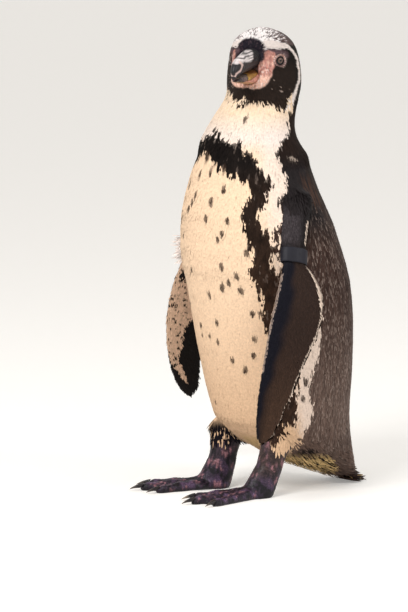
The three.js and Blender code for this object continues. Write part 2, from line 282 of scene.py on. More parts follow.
# Height, and how far the neck has turned there towards the head's way.
NECK_TURN = [(390, 0), (401, 3), (417, 10), (434, 22), (450, 33), (464, 36)]


def unit(ways):
    """Rows of vectors, each made one long."""
    return ways / np.maximum(np.linalg.norm(ways, axis=1, keepdims=True), 1e-6)


def between(rows, at, column=1):
    """Reads one column of a short table of rows, which run up or down its first column."""
    rows = sorted(rows)
    return np.interp(at, [row[0] for row in rows], [row[column] for row in rows])


def round_body(p):
    """Degrees round the body from the middle of the breast, left side positive."""
    angle = np.degrees(np.arctan2(p[:, 0], between(SPINE, p[:, 2]) - p[:, 1]))
    angle = angle - between(NECK_TURN, p[:, 2])
    return (angle + 180) % 360 - 180


def round_head(p):
    """Degrees round the head from the bill, left side positive, and the height from its middle."""
    q = p - HEAD_MIDDLE
    return np.degrees(np.arctan2(q @ HEAD_LEFT, q @ HEAD_AHEAD)), q[:, 2]


def along_bill(p):
    """Ahead of the head's middle, out to the side, and up, in the nodding bill's own frame."""
    q = p - HEAD_MIDDLE
    ahead, side, up = q @ HEAD_AHEAD, q @ HEAD_LEFT, q[:, 2]
    c, s = math.cos(HEAD_NOD), math.sin(HEAD_NOD)
    return np.stack([ahead * c - up * s, side, ahead * s + up * c], 1)


def eye_frame(hand):
    """Ways out of, ahead of and above an eye."""
    out = HEAD_AHEAD * 0.44 + HEAD_LEFT * hand * 0.9 + UP * 0.05
    out /= np.linalg.norm(out)
    ahead = HEAD_AHEAD - out * (HEAD_AHEAD @ out)
    ahead /= np.linalg.norm(ahead)
    return out, ahead, np.cross(out, ahead) * hand


# Half the width and half the height of the lids' opening.
LID_WIDE, LID_HIGH = 5.2, 4.3


def round_eye(p):
    """Distance from the nearer eye's axis in openings of the lids, and degrees round it."""
    off, turn = np.full(len(p), 99.0), np.zeros(len(p))
    for place, hand in EYES.values():
        out, ahead, above = eye_frame(hand)
        q = p - place
        x, y = q @ ahead / LID_WIDE, q @ above / LID_HIGH
        here = (q @ out > -1) & (np.hypot(x, y) < off)
        off = np.where(here, np.hypot(x, y), off)
        turn = np.where(here, np.degrees(np.arctan2(y, x)), turn)
    return off, turn


# %% Place along a flipper
FLIPPER_LENGTH = 293
SHOULDER = np.array([62, -6, 346])
# The hand, then degrees: out from the body at the root, and added to that by the tip; forward at
# the root, and added to that by the tip; and the twist about its own length.
FLIPPER_POSE = {
    "left": (1, 28, -38, 15.5, -1, 7),
    "right": (-1, 31, -20, 18.5, -41, -22),
}
# Share of the way to the tip, leading edge and trailing edge from the flipper's line.
FLIPPER_OUTLINE = [(0, -20, 20), (0.14, -16, 16), (0.262, -13.5, 13.5), (0.3, -14, 21)]
FLIPPER_OUTLINE += [(0.345, -15.5, 33), (0.4, -18, 40.5), (0.47, -21, 43), (0.54, -23, 40)]
FLIPPER_OUTLINE += [(0.63, -23.5, 32), (0.73, -22.5, 25), (0.83, -20, 20), (0.915, -15, 16)]
FLIPPER_OUTLINE += [(0.97, -7.5, 9.5), (1.0, -3, 5)]


def flipper_line(hand, out, bend, swing, sweep, twist, count=60):
    """The line down a flipper: its place, its way along and its way across at each step."""
    share = (np.arange(count) + 0.5) / count
    out = np.radians(out + bend * share)
    fore = np.radians(swing + sweep * share)
    down = np.cos(out)
    along = np.stack([hand * np.sin(out), -np.sin(fore) * down, -np.cos(fore) * down], 1)
    twist = math.radians(twist)
    across = np.array([hand * math.sin(twist), math.cos(twist), 0]) * np.ones((count, 1))
    across = unit(across - along * (across * along).sum(1, keepdims=True))
    ends = SHOULDER * [hand, 1, 1] + np.cumsum(along, 0) * FLIPPER_LENGTH / count
    place = ends - along * FLIPPER_LENGTH / count / 2
    return {"share": share, "place": place, "along": along, "across": across}


FLIPPERS = {side: flipper_line(*pose) for side, pose in FLIPPER_POSE.items()}


def along_flipper(p, side):
    """Share to the tip, share across from leading to trailing edge, and the step nearest to it."""
    line = FLIPPERS[side]
    best = np.full(len(p), 1e9)
    step = np.zeros(len(p), int)
    for i, place in enumerate(line["place"]):
        away = np.abs(((p - place) * line["along"][i]).sum(1))
        nearer = away < best
        best[nearer], step[nearer] = away[nearer], i
    q = p - line["place"][step]
    share = line["share"][step] + (q * line["along"][step]).sum(1) / FLIPPER_LENGTH
    across = (q * line["across"][step]).sum(1)
    lead = between(FLIPPER_OUTLINE, share, 1)
    trail = between(FLIPPER_OUTLINE, share, 2)
    return share, (across - lead) / (trail - lead), step


print("flipper tips at", [FLIPPERS[s]["place"][-1].round(1).tolist() for s in FLIPPERS])

# %% [markdown]
# ## Markings
# The bird's pattern is one function from a place to a colour, used by the skin and by every
# feather, so both carry the same marks. Each band is a short table of edges, and a slow ripple
# makes the edges wander as real ones do.

# %% Ripples, soft edges and mixing
def ripple(p, size, seed):
    """A smooth wandering number from about -1 to 1, with humps about size millimetres long."""
    draw = np.random.default_rng(seed)
    total = np.zeros(len(p))
    for _ in range(7):
        way = draw.normal(size=3)
        way *= 2 * math.pi / (size * 2.2 * np.linalg.norm(way)) * draw.uniform(0.7, 1.5)
        total += np.sin(p @ way + draw.uniform(0, 7))
    return total / 3.2


def ease(x, low, high):
    """0 below low, 1 above high, and a smooth rise between."""
    t = np.clip((np.asarray(x, float) - low) / (high - low), 0, 1)
    return t * t * (3 - 2 * t)


def mix(under, over, share):
    """Lays one colour over another by a share for each point."""
    share = np.clip(np.asarray(share, float), 0, 1)[:, None]
    return under * (1 - share) + over * share


def inside(x, y, corners):
    """Which points lie inside a closed outline."""
    hit = np.zeros(len(x), bool)
    for (x0, y0), (x1, y1) in zip(corners, corners[1:] + corners[:1]):
        if y0 != y1:
            crosses = (y0 > y) != (y1 > y)
            hit ^= crosses & (x < (x1 - x0) * (y - y0) / (y1 - y0) + x0)
    return hit


def from_path(x, y, path):
    """How far points lie from a line of (x, y, half-width) stations, in half-widths."""
    best = np.full(len(x), 1e9)
    for (x0, y0, w0), (x1, y1, w1) in zip(path, path[1:]):
        dx, dy = x1 - x0, y1 - y0
        t = np.clip(((x - x0) * dx + (y - y0) * dy) / (dx * dx + dy * dy), 0, 1)
        best = np.minimum(best, np.hypot(x - x0 - t * dx, y - y0 - t * dy) / (w0 + t * (w1 - w0)))
    return best


# %% The palette
def palette(colours):
    """Named colours as they are seen, turned into light."""
    return {name: linear(colour) for name, colour in colours.items()}


COAT = palette(
    {
        "cream": (242, 210, 178),
        "cream_low": (224, 187, 152),
        "white": (236, 223, 216),
        # snow is a painted highlight of sun on the dark crown.
        "snow": (250, 243, 241),
        "throat": (238, 206, 166),
        "black": (21, 16, 14),
        "violet": (27, 21, 31),
        "cheek": (38, 28, 23),
        "band": (38, 27, 21),
        "band_low": (54, 38, 29),
        "back_high": (34, 24, 20),
        "back": (62, 45, 39),
        "back_low": (98, 80, 72),
        "spot": (52, 38, 31),
        "frost": (152, 134, 124),
        "coverts": (212, 180, 126),
        "edge": (16, 15, 25),
        "arm": (32, 27, 28),
        # steel is a painted blue-grey sheen on the dark arm.
        "steel": (74, 67, 70),
        "flipper": (50, 36, 30),
        "flipper_low": (72, 52, 40),
        "under": (216, 180, 152),
        "fringe": (236, 214, 196),
        "pink": (184, 130, 118),
        "pink_pale": (232, 188, 168),
        "fold": (146, 92, 80),
        "mauve": (104, 82, 86),
        "bead": (214, 190, 180),
        "crown": (92, 76, 74),
        "rust": (102, 68, 48),
        "foot": (52, 40, 56),
        "shin": (70, 52, 46),
        "foot_dark": (20, 16, 23),
        # foot_mauve is partly the skin's own mauve and partly a painted sheen.
        "foot_mauve": (108, 84, 116),
        "foot_pink": (168, 118, 126),
    }
)

# %% Edges of the bands on the body
# Angle from the breast's middle, then the breast band's lower and upper edge.
BREAST_BAND = [(0, 389, 411), (13, 385, 405), (18, 377, 403), (30, 370, 401), (41, 363, 403)]
BREAST_BAND += [(47, 359, 395), (53, 354, 389), (61, 338, 383), (67, 338, 376), (71, 348, 369)]
BREAST_BAND += [(76, 356, 363), (78, 359, 359)]
# Height, then the flank band's front and back edge.
FLANK_BAND = [(362, 60, 76), (353, 57, 74), (345, 56, 70), (337, 52, 68), (331, 49, 66)]
FLANK_BAND += [(323, 47, 60), (317, 47, 63), (309, 48, 62), (302, 48, 66), (290, 50, 68)]
FLANK_BAND += [(279, 51, 67), (275, 52, 64), (262, 47, 64), (257, 48, 70), (238, 50, 72)]
FLANK_BAND += [(209, 50, 72), (191, 53, 74), (150, 50, 73), (130, 48, 70), (117, 46, 72)]
FLANK_BAND += [(103, 44, 70), (94, 42, 70), (81, 38, 61), (71, 35, 50), (64, 33, 42), (57, 35, 37)]
# Height, then where the dark back begins.
BACK_EDGE = [(470, 80), (450, 88), (436, 93), (417, 112), (407, 104), (400, 93), (393, 90)]
BACK_EDGE += [(383, 84), (375, 89), (362, 94), (352, 87), (342, 82), (332, 76), (325, 80)]
BACK_EDGE += [(313, 81), (310, 72), (303, 69), (290, 69), (276, 70), (270, 74), (262, 74)]
BACK_EDGE += [(257, 66), (232, 75), (212, 98), (180, 97), (158, 89), (130, 85), (106, 85)]
BACK_EDGE += [(83, 79), (64, 66), (43, 38)]
# Angle, height and size of the dark spots on the breast and belly.
SPOTS = [(3, 384, 5), (14, 367, 3), (0, 364, 3), (29, 372, 3), (31, 351, 3), (20, 336, 3.4)]
SPOTS += [(-7, 325, 3), (-3, 333, 2.6), (1, 341, 3), (-17, 351, 3), (-23, 311, 3), (16, 318, 3)]
SPOTS += [(35, 316, 3), (30, 302, 2.8), (26, 296, 2.6), (-15, 294, 2.2), (47, 281, 3.2)]
SPOTS += [(27, 265, 3), (37, 255, 2.7), (30, 247, 2.7), (24, 241, 3), (38, 238, 3.2)]
SPOTS += [(11, 230, 2.4), (-5, 257, 2), (44, 213, 2.6), (50, 213, 2.4), (14, 199, 2.2)]
SPOTS += [(-7, 192, 2.2), (-7, 181, 1.8), (4, 182, 2), (12, 177, 2), (43, 184, 2.4)]
SPOTS += [(41, 165, 2.4), (23, 157, 2.2), (33, 147, 2.6), (-8, 103, 1.6), (27, 427, 2.8)]
SPOTS += [(-30, 340, 3), (-38, 322, 2.6), (-33, 290, 3), (-42, 268, 2.6), (-29, 246, 3)]
SPOTS += [(-37, 222, 2.8), (-25, 214, 2.2), (-44, 196, 2.4), (-31, 170, 2.4), (80, 133, 3)]
SPOTS += [(77, 115, 2.6), (-80, 140, 2.6), (-76, 118, 2.6)]


# %% The body's colours
def streaks(p, size, seed):
    """A wandering number drawn out down the body, as rows of feathers are."""
    return ripple(p * [1.0, 1.0, 0.2], size, seed)


def body_colours(p, draw):
    """Colours of points on the trunk and neck; draw holds random numbers from 0 to 1 for each."""
    z = p[:, 2]
    signed = round_body(p)
    rows = streaks(p, 3.2, 7)
    angle = np.abs(signed) + ripple(p, 16, 3) * 1.6 + rows * 1.2 + (draw[:, 0] - 0.5) * 4
    high = z + ripple(p, 13, 5) * 2.2 + rows * 3.6 + (draw[:, 1] - 0.5) * 6
    colour = mix(COAT["cream_low"], COAT["cream"], ease(z, 60, 250))
    colour = mix(colour, COAT["white"], ease(z, 385, 410) * 0.85)
    colour = mix(colour, COAT["white"], ease(angle, 58, 78) * 0.6)
    colour = mix(colour, COAT["throat"], ease(z, 400, 440) * 0.65)
    low, top = between(BREAST_BAND, angle, 1), between(BREAST_BAND, angle, 2)
    chest = (high > low) & (high < top) & (angle < 80)
    front, back = between(FLANK_BAND, high, 1), between(FLANK_BAND, high, 2)
    flank = (angle > front) & (angle < back) & (high < 362) & (high > 56)
    dark = mix(COAT["band_low"], COAT["band"], ease(z, 230, 330))
    dark = mix(dark, COAT["black"], ease(z, 345, 380))
    dark = dark * (0.8 + 0.3 * draw[:, 2:3] + 0.25 * streaks(p, 2.4, 9)[:, None])
    dark = mix(dark, COAT["frost"], ease(streaks(p, 2.6, 15) + draw[:, 3] * 0.7, 1.1, 1.5) * 0.22)
    colour = mix(colour, dark, chest | flank)
    plain = signed + between(NECK_TURN, z)
    around = np.maximum(np.hypot(p[:, 0], p[:, 1]), 40) * math.pi / 180
    for at, height, size in SPOTS:
        across = (plain - at - between(NECK_TURN, height)) * around
        away = np.hypot(across * 1.05, (z - height) * 0.7) / size
        colour = mix(colour, COAT["spot"], ease(-away, -1.4, -0.85) * (0.8 + 0.2 * draw[:, 2]))
    back_colour = mix(COAT["back_low"], COAT["back"], ease(z, 90, 240))
    back_colour = mix(back_colour, COAT["back_high"], ease(z, 260, 380))
    back_colour = back_colour * (0.82 + 0.36 * draw[:, 2:3] + 0.2 * streaks(p, 2.6, 17)[:, None])
    arm = ease(z, 285, 325) * ease(-z, -392, -366) * ease(-np.abs(np.abs(signed) - 104), -32, -16)
    back_colour = mix(back_colour, COAT["arm"] * (0.8 + 0.4 * draw[:, 2:3]), arm)
    # Rust-brown streaks on the shoulders: partly brown feather edges and partly a painted highlight
    # of sun on the dark back.
    rust = ease(z, 318, 335) * ease(-z, -370, -350) * ease(np.abs(signed), 106, 116)
    rust = rust * ease(-np.abs(signed), -142, -126) * ease(streaks(p, 4, 19), -0.6, 0.8)
    back_colour = mix(back_colour, COAT["rust"], rust * 0.5)
    fleck = np.hypot((np.abs(signed) - 108) / 8, (z - 382 + (np.abs(signed) - 108) * 0.3) / 1.5)
    back_colour = mix(back_colour, COAT["fringe"], ease(-fleck, -1.2, -0.8) * 0.4)
    colour = mix(colour, back_colour, angle > between(BACK_EDGE, high))
    # Black feathers low on the rear, between the legs where the body turns under: painted shade in
    # that hollow.
    gap = ease(z, 37, 42) * ease(-z, -54, -48) * ease(p[:, 1], 8, 18) * (angle < 72)
    colour = mix(colour, COAT["black"], gap * (draw[:, 1] > 0.25))
    vent = ease(-z, -46, -36) * ease(p[:, 1], 2, 16) * ease(-p[:, 1], -84, -66) * (angle < 84)
    straw = COAT["coverts"] * (0.55 + 0.8 * draw[:, 1:2])
    # About a quarter of the vent's feathers are painted black: painted shade in the gaps between
    # the straw-coloured feathers.
    colour = mix(colour, mix(straw, COAT["black"], draw[:, 3] < 0.28), vent)
    amber = ease(-z, -72, -58) * ease(p[:, 0], -2, 8) * ease(-p @ [0.53, 0.85, 0], 4, 12)
    colour = mix(colour, COAT["coverts"], amber * 0.75 * (angle < 44))
    off_leg = np.hypot(p[:, 0] + 38, p[:, 1] + 28)
    shaggy = ease(-z, -79, -70) * ease(-off_leg, -31, -24)
    return mix(colour, COAT["foot_dark"], shaggy * (draw[:, 3] > 0.22))


print("spots:", len(SPOTS))

# %% [markdown]
# The face is what people look at first. Its marks are laid out on the angle round the head and
# the height: a white stripe that runs from the crown behind the eye to the throat, a black cheek
# with a ragged hem, a violet-black forehead, and bare pink skin from the gape to the eye.

# %% The head's pattern
# The white stripe: degrees round the head, height from its middle, and half-width.
BROW = [(20, 22, 5.0), (34, 24, 4.8), (50, 22, 3.8), (64, 21, 3.1), (78, 20, 2.8), (88, 14, 2.9)]
BROW += [(96, 5, 2.8), (98, -8, 2.6), (95, -19, 2.6), (87, -31, 2.9), (78, -40, 3.8)]
BROW += [(71, -49, 5.5), (66, -56, 7), (64, -64, 8)]
# Outlines in the same degrees and heights: the dark forehead, the bare skin on the left and on
# the right side, and the grey skin over the eye.
FOREHEAD = [(-35, -3), (-35, 14), (-32, 25), (-24, 29), (-12, 31), (0, 32), (12, 30), (22, 26)]
FOREHEAD += [(27, 22), (23, 16), (27, 9), (24, 1), (14, -4)]
BARE = [(14, 3), (20, 4), (24, 9), (26, 15), (31, 17), (38, 15.5), (45, 15), (44, 6), (42, 1)]
BARE += [(39, -5), (37, -10), (34, -15), (30, -19), (24, -23), (15, -25), (0, -25), (0, 3)]
BARE_FAR = [(0, -25), (16, -25), (28, -23), (40, -20), (41, -12), (45, -5), (46, 15), (39, 17)]
BARE_FAR += [(35, 12), (34, -2), (26, -5), (0, -5)]
ABOVE_EYE = [(24, 14), (24, 19), (36, 19), (50, 18), (64, 17), (74, 14), (76, 9), (66, 9)]
ABOVE_EYE += [(50, 12)]
# The fold that runs back from the gape.
CREASE = [(10, -10, 0.8), (16, -9, 1.0), (20, -4.5, 1.3), (24, -2.5, 1.2), (30, -4, 1.0)]
CREASE += [(35, -7, 0.6)]
# Degrees round the head, left side positive, and the height where the black cheek ends.
CHEEK_HEM = [(-90, -28), (-57, -32), (-32, -38), (-15, -42), (0, -43), (8, -44), (21, -45)]
CHEEK_HEM += [(34, -46), (44, -49), (57, -51), (66, -45), (90, -30)]
# A degree round the head is about this many millimetres along its side.
DEGREE = 0.72
# No skin is bare below this height.
FACE_FROM = 450


# %% How bare the head is
def soft_inside(x, y, corners, reach=1.6):
    """How far inside a closed outline points lie, from 0 to 1, with a soft edge."""
    total = np.zeros(len(x))
    steps = ((0, 0), (1, 0), (-1, 0), (0, 0.8), (0, -0.8), (0.6, 0.5), (-0.6, 0.5), (0, 0.3))
    for dx, dy in steps:
        total += inside(x + dx * reach, y + dy * reach, corners)
    return total / len(steps)


def bare_share(p):
    """How bare of feathers the head is at each point, from 0 to 1, softened at the edge."""
    angle, up = round_head(p)
    wander = ripple(p, 5, 21)
    x, y = np.abs(angle) + wander * 1.6, up + wander * 0.8
    near = soft_inside(x, y, BARE)
    far = soft_inside(x, y, BARE_FAR)
    off = round_eye(p)[0]
    ring = ease(-off - wander * 0.08, -1.75, -1.55)
    return np.maximum(np.where(angle > 0, near, far), ring) * (p[:, 2] > FACE_FROM)


def crown_dark(p, draw):
    """The share of grey and black on the crown, more to the sides and all at the nape; the white
    left in front is a painted highlight of sun on the dark crown, and the grey speckle is painted
    light and shade of that sun.
    """
    q = p - HEAD_MIDDLE
    behind = 5 + 1.1 * np.abs(q @ HEAD_LEFT) - q @ HEAD_AHEAD
    speckle = ripple(p, 2.6, 8) * 0.16 + draw[:, 3] - 0.5
    share = 0.14 + ease(behind, -10, 16) * 0.36 + ease(behind, 20, 46) * 0.7
    return ease(share + speckle, 0.38, 0.52)


# %% The head's colours
def bare_colours(p, draw):
    """Colours of the bare face: pink by the gape, paler and beaded low down, dusky by the eye."""
    angle, up = round_head(p)
    turned = np.abs(angle)
    skin = mix(COAT["pink"], COAT["pink_pale"], ease(-up, 7, 17) * 0.9)
    skin = mix(skin, COAT["pink_pale"], ease(ripple(p, 3.4, 30), 0.3, 0.9) * 0.6)
    skin = mix(skin, COAT["fold"], ease(ripple(p, 2.4, 33), 0.5, 1.0) * 0.5)
    skin = mix(skin, COAT["fold"], ease(-from_path(turned, up, CREASE), -1.5, -0.5) * 0.9)
    gape = np.hypot((turned - 19) / 4, (up - 1) / 3)
    skin = mix(skin, COAT["rust"], ease(-gape, -1.2, -0.5) * 0.6)
    skin = mix(skin, COAT["bead"], ease(ripple(p, 1.7, 31), 0.3, 0.7) * ease(-up, -6, 10) * 0.8)
    skin = skin * (1 + 0.22 * ripple(p * [1.0, 1.0, 0.4], 1.6, 34)[:, None])
    off, turn = round_eye(p)
    skin = mix(skin, COAT["mauve"], ease(-off, -1.95, -1.5) * (0.2 + 0.6 * ease(turn, 0, 60)))
    row = np.cos(np.radians(turn * 15)) * 0.5 + 0.5
    beads = ease(row, 0.25, 0.5) * ease(off, 1.22, 1.32) * ease(-off, -1.74, -1.6)
    skin = mix(skin, COAT["bead"], beads * np.where(turn > 20, 0.35, 0.9) * (draw[:, 0] > 0.15))
    skin = mix(skin, COAT["black"], ease(-off, -1.25, -1.14))
    far = (angle < 0) * ease(turned, 46, 50)
    return mix(skin, COAT["black"], far * 0.8)


def head_colours(p, draw):
    """Colours of points on the head and the top of the neck."""
    angle, up = round_head(p)
    wander = ripple(p, 9, 12)
    turned = np.abs(angle)
    loose = draw[:, 0] - 0.5
    a = (turned + wander * 1.5) * DEGREE
    u = up + wander * 0.8 + (draw[:, 1] - 0.5) * 1.6
    cheek = ease(-up, -8, 10) * ease(-turned, -92, -80)
    colour = mix(COAT["black"], COAT["cheek"], cheek)
    colour = colour * (0.75 + 0.5 * draw[:, 2:3])
    streak = (draw[:, 3] > 0.955) & (turned > 30) & (turned < 70) & (up < -12)
    colour = mix(colour, COAT["frost"], streak)
    # The crown's feathers are dark: its white front and grey speckles are painted highlight of sun
    # from above.
    crown = (u > 21) | ((u > 17) & (turned < 30))
    dark = crown_dark(p, draw)
    grey = mix(COAT["crown"], COAT["black"], ease(turned, 85, 125))
    grey = grey * (0.6 + 0.9 * draw[:, 2:3])
    colour = mix(colour, mix(COAT["snow"], grey, dark), crown)
    path = [(x * DEGREE, y, w) for x, y, w in BROW]
    stripe = from_path(a, u, path) + loose * 0.3
    nape = (turned > 60) & (up > 10)
    dim = np.where(nape, 0.8 + 0.2 * draw[:, 2], 0.94 + 0.06 * draw[:, 2])
    colour = mix(colour, COAT["white"] * dim[:, None], ease(-stripe, -1.08, -0.92))
    hem = between(CHEEK_HEM, angle)
    below = up + wander * 1.4 + (draw[:, 1] - 0.5) * 8 + streaks(p, 3.0, 13) * 4
    throat = (below < hem) & (turned < 78 + wander * 2)
    cream = mix(COAT["white"], COAT["throat"], 0.6 + 0.2 * draw[:, 2])
    colour = mix(colour, cream, throat)
    front = soft_inside(angle + wander * 1.5 + loose * 4, u, FOREHEAD)
    violet = COAT["violet"] * (0.6 + 0.7 * draw[:, 2:3])
    violet = mix(violet, COAT["mauve"], (draw[:, 0] > 0.86) * 0.45)
    colour = mix(colour, violet, front)
    above_eye = soft_inside(turned + wander, up, ABOVE_EYE, 3.0)
    colour = mix(colour, COAT["mauve"] * (0.7 + 0.6 * draw[:, 2:3]), above_eye * 0.85)
    off, turn = round_eye(p)
    rays = ease(np.cos(np.radians(turn * 20)), 0.2, 0.6) * ease(-off, -2.3, -2.0)
    colour = mix(colour, COAT["bead"], rays * 0.5 * (np.abs(turn) > 105))
    return mix(colour, bare_colours(p, draw), bare_share(p))


# %% The flippers' pattern
# Share to the tip, then the pale underside's edge towards the rear and towards the front.
UNDER_PALE = [(0.46, 0.08, -1), (0.47, 0.7, -1), (0.56, 0.5, -1), (0.58, 0.6, -1), (0.6, 0.8, -1)]
UNDER_PALE += [(0.64, 0.55, -1), (0.69, 0.4, -1), (0.72, 0.35, -1), (0.76, 0.3, -0.1)]
UNDER_PALE += [(0.8, 0.32, 0.03), (0.85, 0.37, 0.11), (0.9, 0.41, 0.26), (0.93, 0.35, 0.35)]


def flipper_colours(p, side, normals, draw):
    """Colours of points on a flipper: dark outside, pale and speckled underneath."""
    share, across, step = along_flipper(p, side)
    line = FLIPPERS[side]
    through = np.cross(line["along"][step], line["across"][step])
    hand = 1 if side == "left" else -1
    facing = (through * normals).sum(1) * np.sign(through[:, 0] * hand)
    wander = ripple(p, 12, 40)
    low = ease(share, 0.55, 0.95) * ease(across, 0.2, 0.5)
    top = mix(COAT["flipper"], COAT["flipper_low"], low)
    lead = 0.3 - 0.2 * ease(share, 0.65, 0.95) - across - wander * 0.04
    top = mix(top, COAT["edge"], ease(lead, -0.12, 0.08))
    top = mix(top, COAT["frost"], (across < 0.04) & (share > 0.34) & (share < 0.72))
    top = mix(top, COAT["arm"], ease(-share, -0.3, -0.2))
    # A painted blue-grey sheen on the arm just above the band.
    steel = ease(share, 0.05, 0.13) * ease(-share, -0.24, -0.21) * ease(-across, -0.8, -0.45)
    top = mix(top, COAT["steel"], steel * (0.3 + 0.5 * draw[:, 3]))
    top = top * (0.85 + 0.3 * draw[:, 2:3])
    rim = 0.87 + 0.085 * ease(share, 0.34, 0.5) - 0.03 * draw[:, 0]
    arm = (share > 0.12) & (share < 0.22) & (draw[:, 1] > 0.45)
    fringe = (across > rim) & ((share > 0.29) | arm)
    top = mix(top, COAT["fringe"], fringe * np.where(share < 0.46, 1.0, 0.75))
    under = COAT["under"] * (0.85 + 0.3 * draw[:, 2:3])
    speckle = ripple(p, 2.6, 44) + ripple(p, 5.5, 45) * 0.7
    under = mix(under, COAT["black"], ease(speckle + (draw[:, 0] - 0.5), 0.75, 0.95))
    at = share + wander * 0.01 + (draw[:, 1] - 0.5) * 0.02
    over = across + wander * 0.06 + (draw[:, 3] - 0.5) * 0.08
    zone = (over > between(UNDER_PALE, at, 1)) | (over < between(UNDER_PALE, at, 2))
    zone = (zone & (at > 0.4)) | (at > 0.93) | (share < 0.3 + wander * 0.03)
    under = mix(under, COAT["black"] * (0.7 + 0.6 * draw[:, 2:3]), zone)
    under = mix(under, COAT["fringe"], (across > 0.94) & (share > 0.45) & (draw[:, 1] > 0.35))
    return mix(under, top, ease(facing, -0.25, 0.1))


# %% The legs' and the tail's patterns
# The length of a row of scales.
SCALE_ROW = 3.1


def scale_relief(p):
    """Low ridges of the scales: small pebbles, with broad rows across the toes and shins."""
    low = ease(-p[:, 2], -20, -12)
    left = p[:, 0] > 0
    ahead = np.where(left, -p[:, 1], -p[:, 1] * 0.956 - p[:, 0] * 0.292)
    row = np.where(low > 0.5, ahead, p[:, 2] + p[:, 1] * 0.3) + ripple(p, 7, 73) * 0.8
    rows = np.abs(np.sin(row * math.pi / SCALE_ROW)) ** 0.6
    pebbles = np.abs(ripple(p, 2.3, 71)) * 0.7 + np.abs(ripple(p, 1.7, 72)) * 0.5
    return 0.55 * rows + 0.45 * np.clip(pebbles, 0, 1)


def leg_colours(p):
    """Colours of the bare shins and feet: purple-black, streaked and mottled with dusky pink."""
    tall = p * [1.0, 1.0, 0.5]
    patches = ripple(tall, 4.6, 50) + 0.7 * ripple(tall, 2.0, 51)
    near = (p[:, 0] > 0) * ease(p[:, 2], 12, 36)
    colour = mix(COAT["foot"], COAT["shin"], 0.25 * ease(p[:, 2], 18, 40) + 0.6 * near)
    colour = mix(colour, COAT["foot_dark"], ease(-patches, 0.0, 0.7) * (1 - 0.5 * near))
    toes = ease(-p[:, 2], -16, -6) * ease(-p[:, 1], 20, 40)
    # Mauve patches, strongest on the toes: partly the skin's own mauve and partly a painted sheen.
    colour = mix(colour, COAT["foot_mauve"], ease(ripple(p, 6, 52), 0.1, 0.9) * (0.25 + 0.5 * toes))
    rear = 0.25 * near * ease(p[:, 1], -22, -8)
    colour = mix(colour, COAT["foot_pink"], ease(patches + rear * 2, 0.5, 1.2) * 0.75)
    colour = colour * (0.5 + 0.75 * scale_relief(p)[:, None])
    return mix(colour, COAT["foot_dark"], ease(-p[:, 2], -6, -1.5) * 0.8)


def tail_colours(draw):
    """Colours of the tail and the feathers that lie over its root."""
    colour = COAT["back"] * (0.55 + 0.5 * draw[:, 2:3])
    return mix(colour, COAT["coverts"], (draw[:, 1] > 0.85) * 0.6)


# %% One function for all the colours
BARE_LEGS = ["leg_left", "leg_right", "foot_left", "foot_right"]
# The neck carries the head's pattern above this height.
HEAD_PATTERN_FROM = 431


def colours_at(p, parts, normals, draw):
    """The bird's colours, by the part that each point belongs to."""
    colour = body_colours(p, draw)
    head = (parts == "head") | ((parts == "neck") & (p[:, 2] > HEAD_PATTERN_FROM))
    colour[head] = head_colours(p[head], draw[head])
    for side in ("left", "right"):
        on = parts == "flipper_" + side
        colour[on] = flipper_colours(p[on], side, normals[on], draw[on])
    legs = np.isin(parts, BARE_LEGS)
    colour[legs] = leg_colours(p[legs])
    tail = parts == "tail"
    colour[tail] = tail_colours(draw[tail])
    return np.clip(colour, 0.001, 1)


print("palette:", len(COAT), "colours")

# %% [markdown]
# ## The skin
# One closed skin replaces every solid of flesh, so no seam shows where neck meets trunk. Copies
# of the solids are swollen by a hair until they meet, joined, and remeshed into even squares.
# The result is smoothed, refined on the face and the feet, and sunk by the depth of the coat.

# %% Join the flesh
FLESH = ["trunk", "neck", "head", "tail", "flipper_left", "flipper_right"]
FLESH += ["leg_left", "leg_right", "foot_left", "foot_right"]
SWELL = 0.0004
WELD = 2e-5
SOCKET_FILL = 0.0076
THIGH_HEM = 57
VOXEL = 0.0026


def merged_copy(name):
    """A bmesh copy of a solid, with its loose triangles welded together."""
    bm = bmesh.new()
    bm.from_mesh(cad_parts[name].data)
    bmesh.ops.remove_doubles(bm, verts=bm.verts, dist=WELD)
    bm.normal_update()
    return bm


def read_points(mesh, kind="vertices", field="co", width=3):
    """A mesh field as a numpy array."""
    items = getattr(mesh, kind)
    values = np.zeros(len(items) * width)
    items.foreach_get(field, values)
    return values.reshape(-1, width) if width > 1 else values


def move_points(mesh, places):
    """Writes new places for a mesh's points."""
    mesh.vertices.foreach_set("co", places.ravel())
    mesh.update()


def applied(mesh, kind, **settings):
    """The mesh with one modifier applied."""
    holder = placed("holder", mesh)
    modifier = holder.modifiers.new(kind, kind)
    for key, value in settings.items():
        setattr(modifier, key, value)
    graph = bpy.context.evaluated_depsgraph_get()
    done = bpy.data.meshes.new_from_object(holder.evaluated_get(graph))
    bpy.data.objects.remove(holder)
    return done


surfaces = {}
joined = bmesh.new()
for name in FLESH:
    part = merged_copy(name)
    surfaces[name] = BVHTree.FromBMesh(part)
    for vert in part.verts:
        vert.co += vert.normal * SWELL
    joined.from_mesh(mesh_of(part, name + "_copy"))
# The eyes' sockets are filled, because the lids are shaped over them later.
for side in ("eye_left", "eye_right"):
    low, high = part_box(side)
    place = Matrix.Translation((low + high) / 2)
    bmesh.ops.create_icosphere(joined, subdivisions=3, radius=SOCKET_FILL, matrix=place)
flesh = applied(mesh_of(joined, "flesh"), "REMESH", mode="VOXEL", voxel_size=VOXEL)
print("remeshed flesh:", len(flesh.vertices), "points")


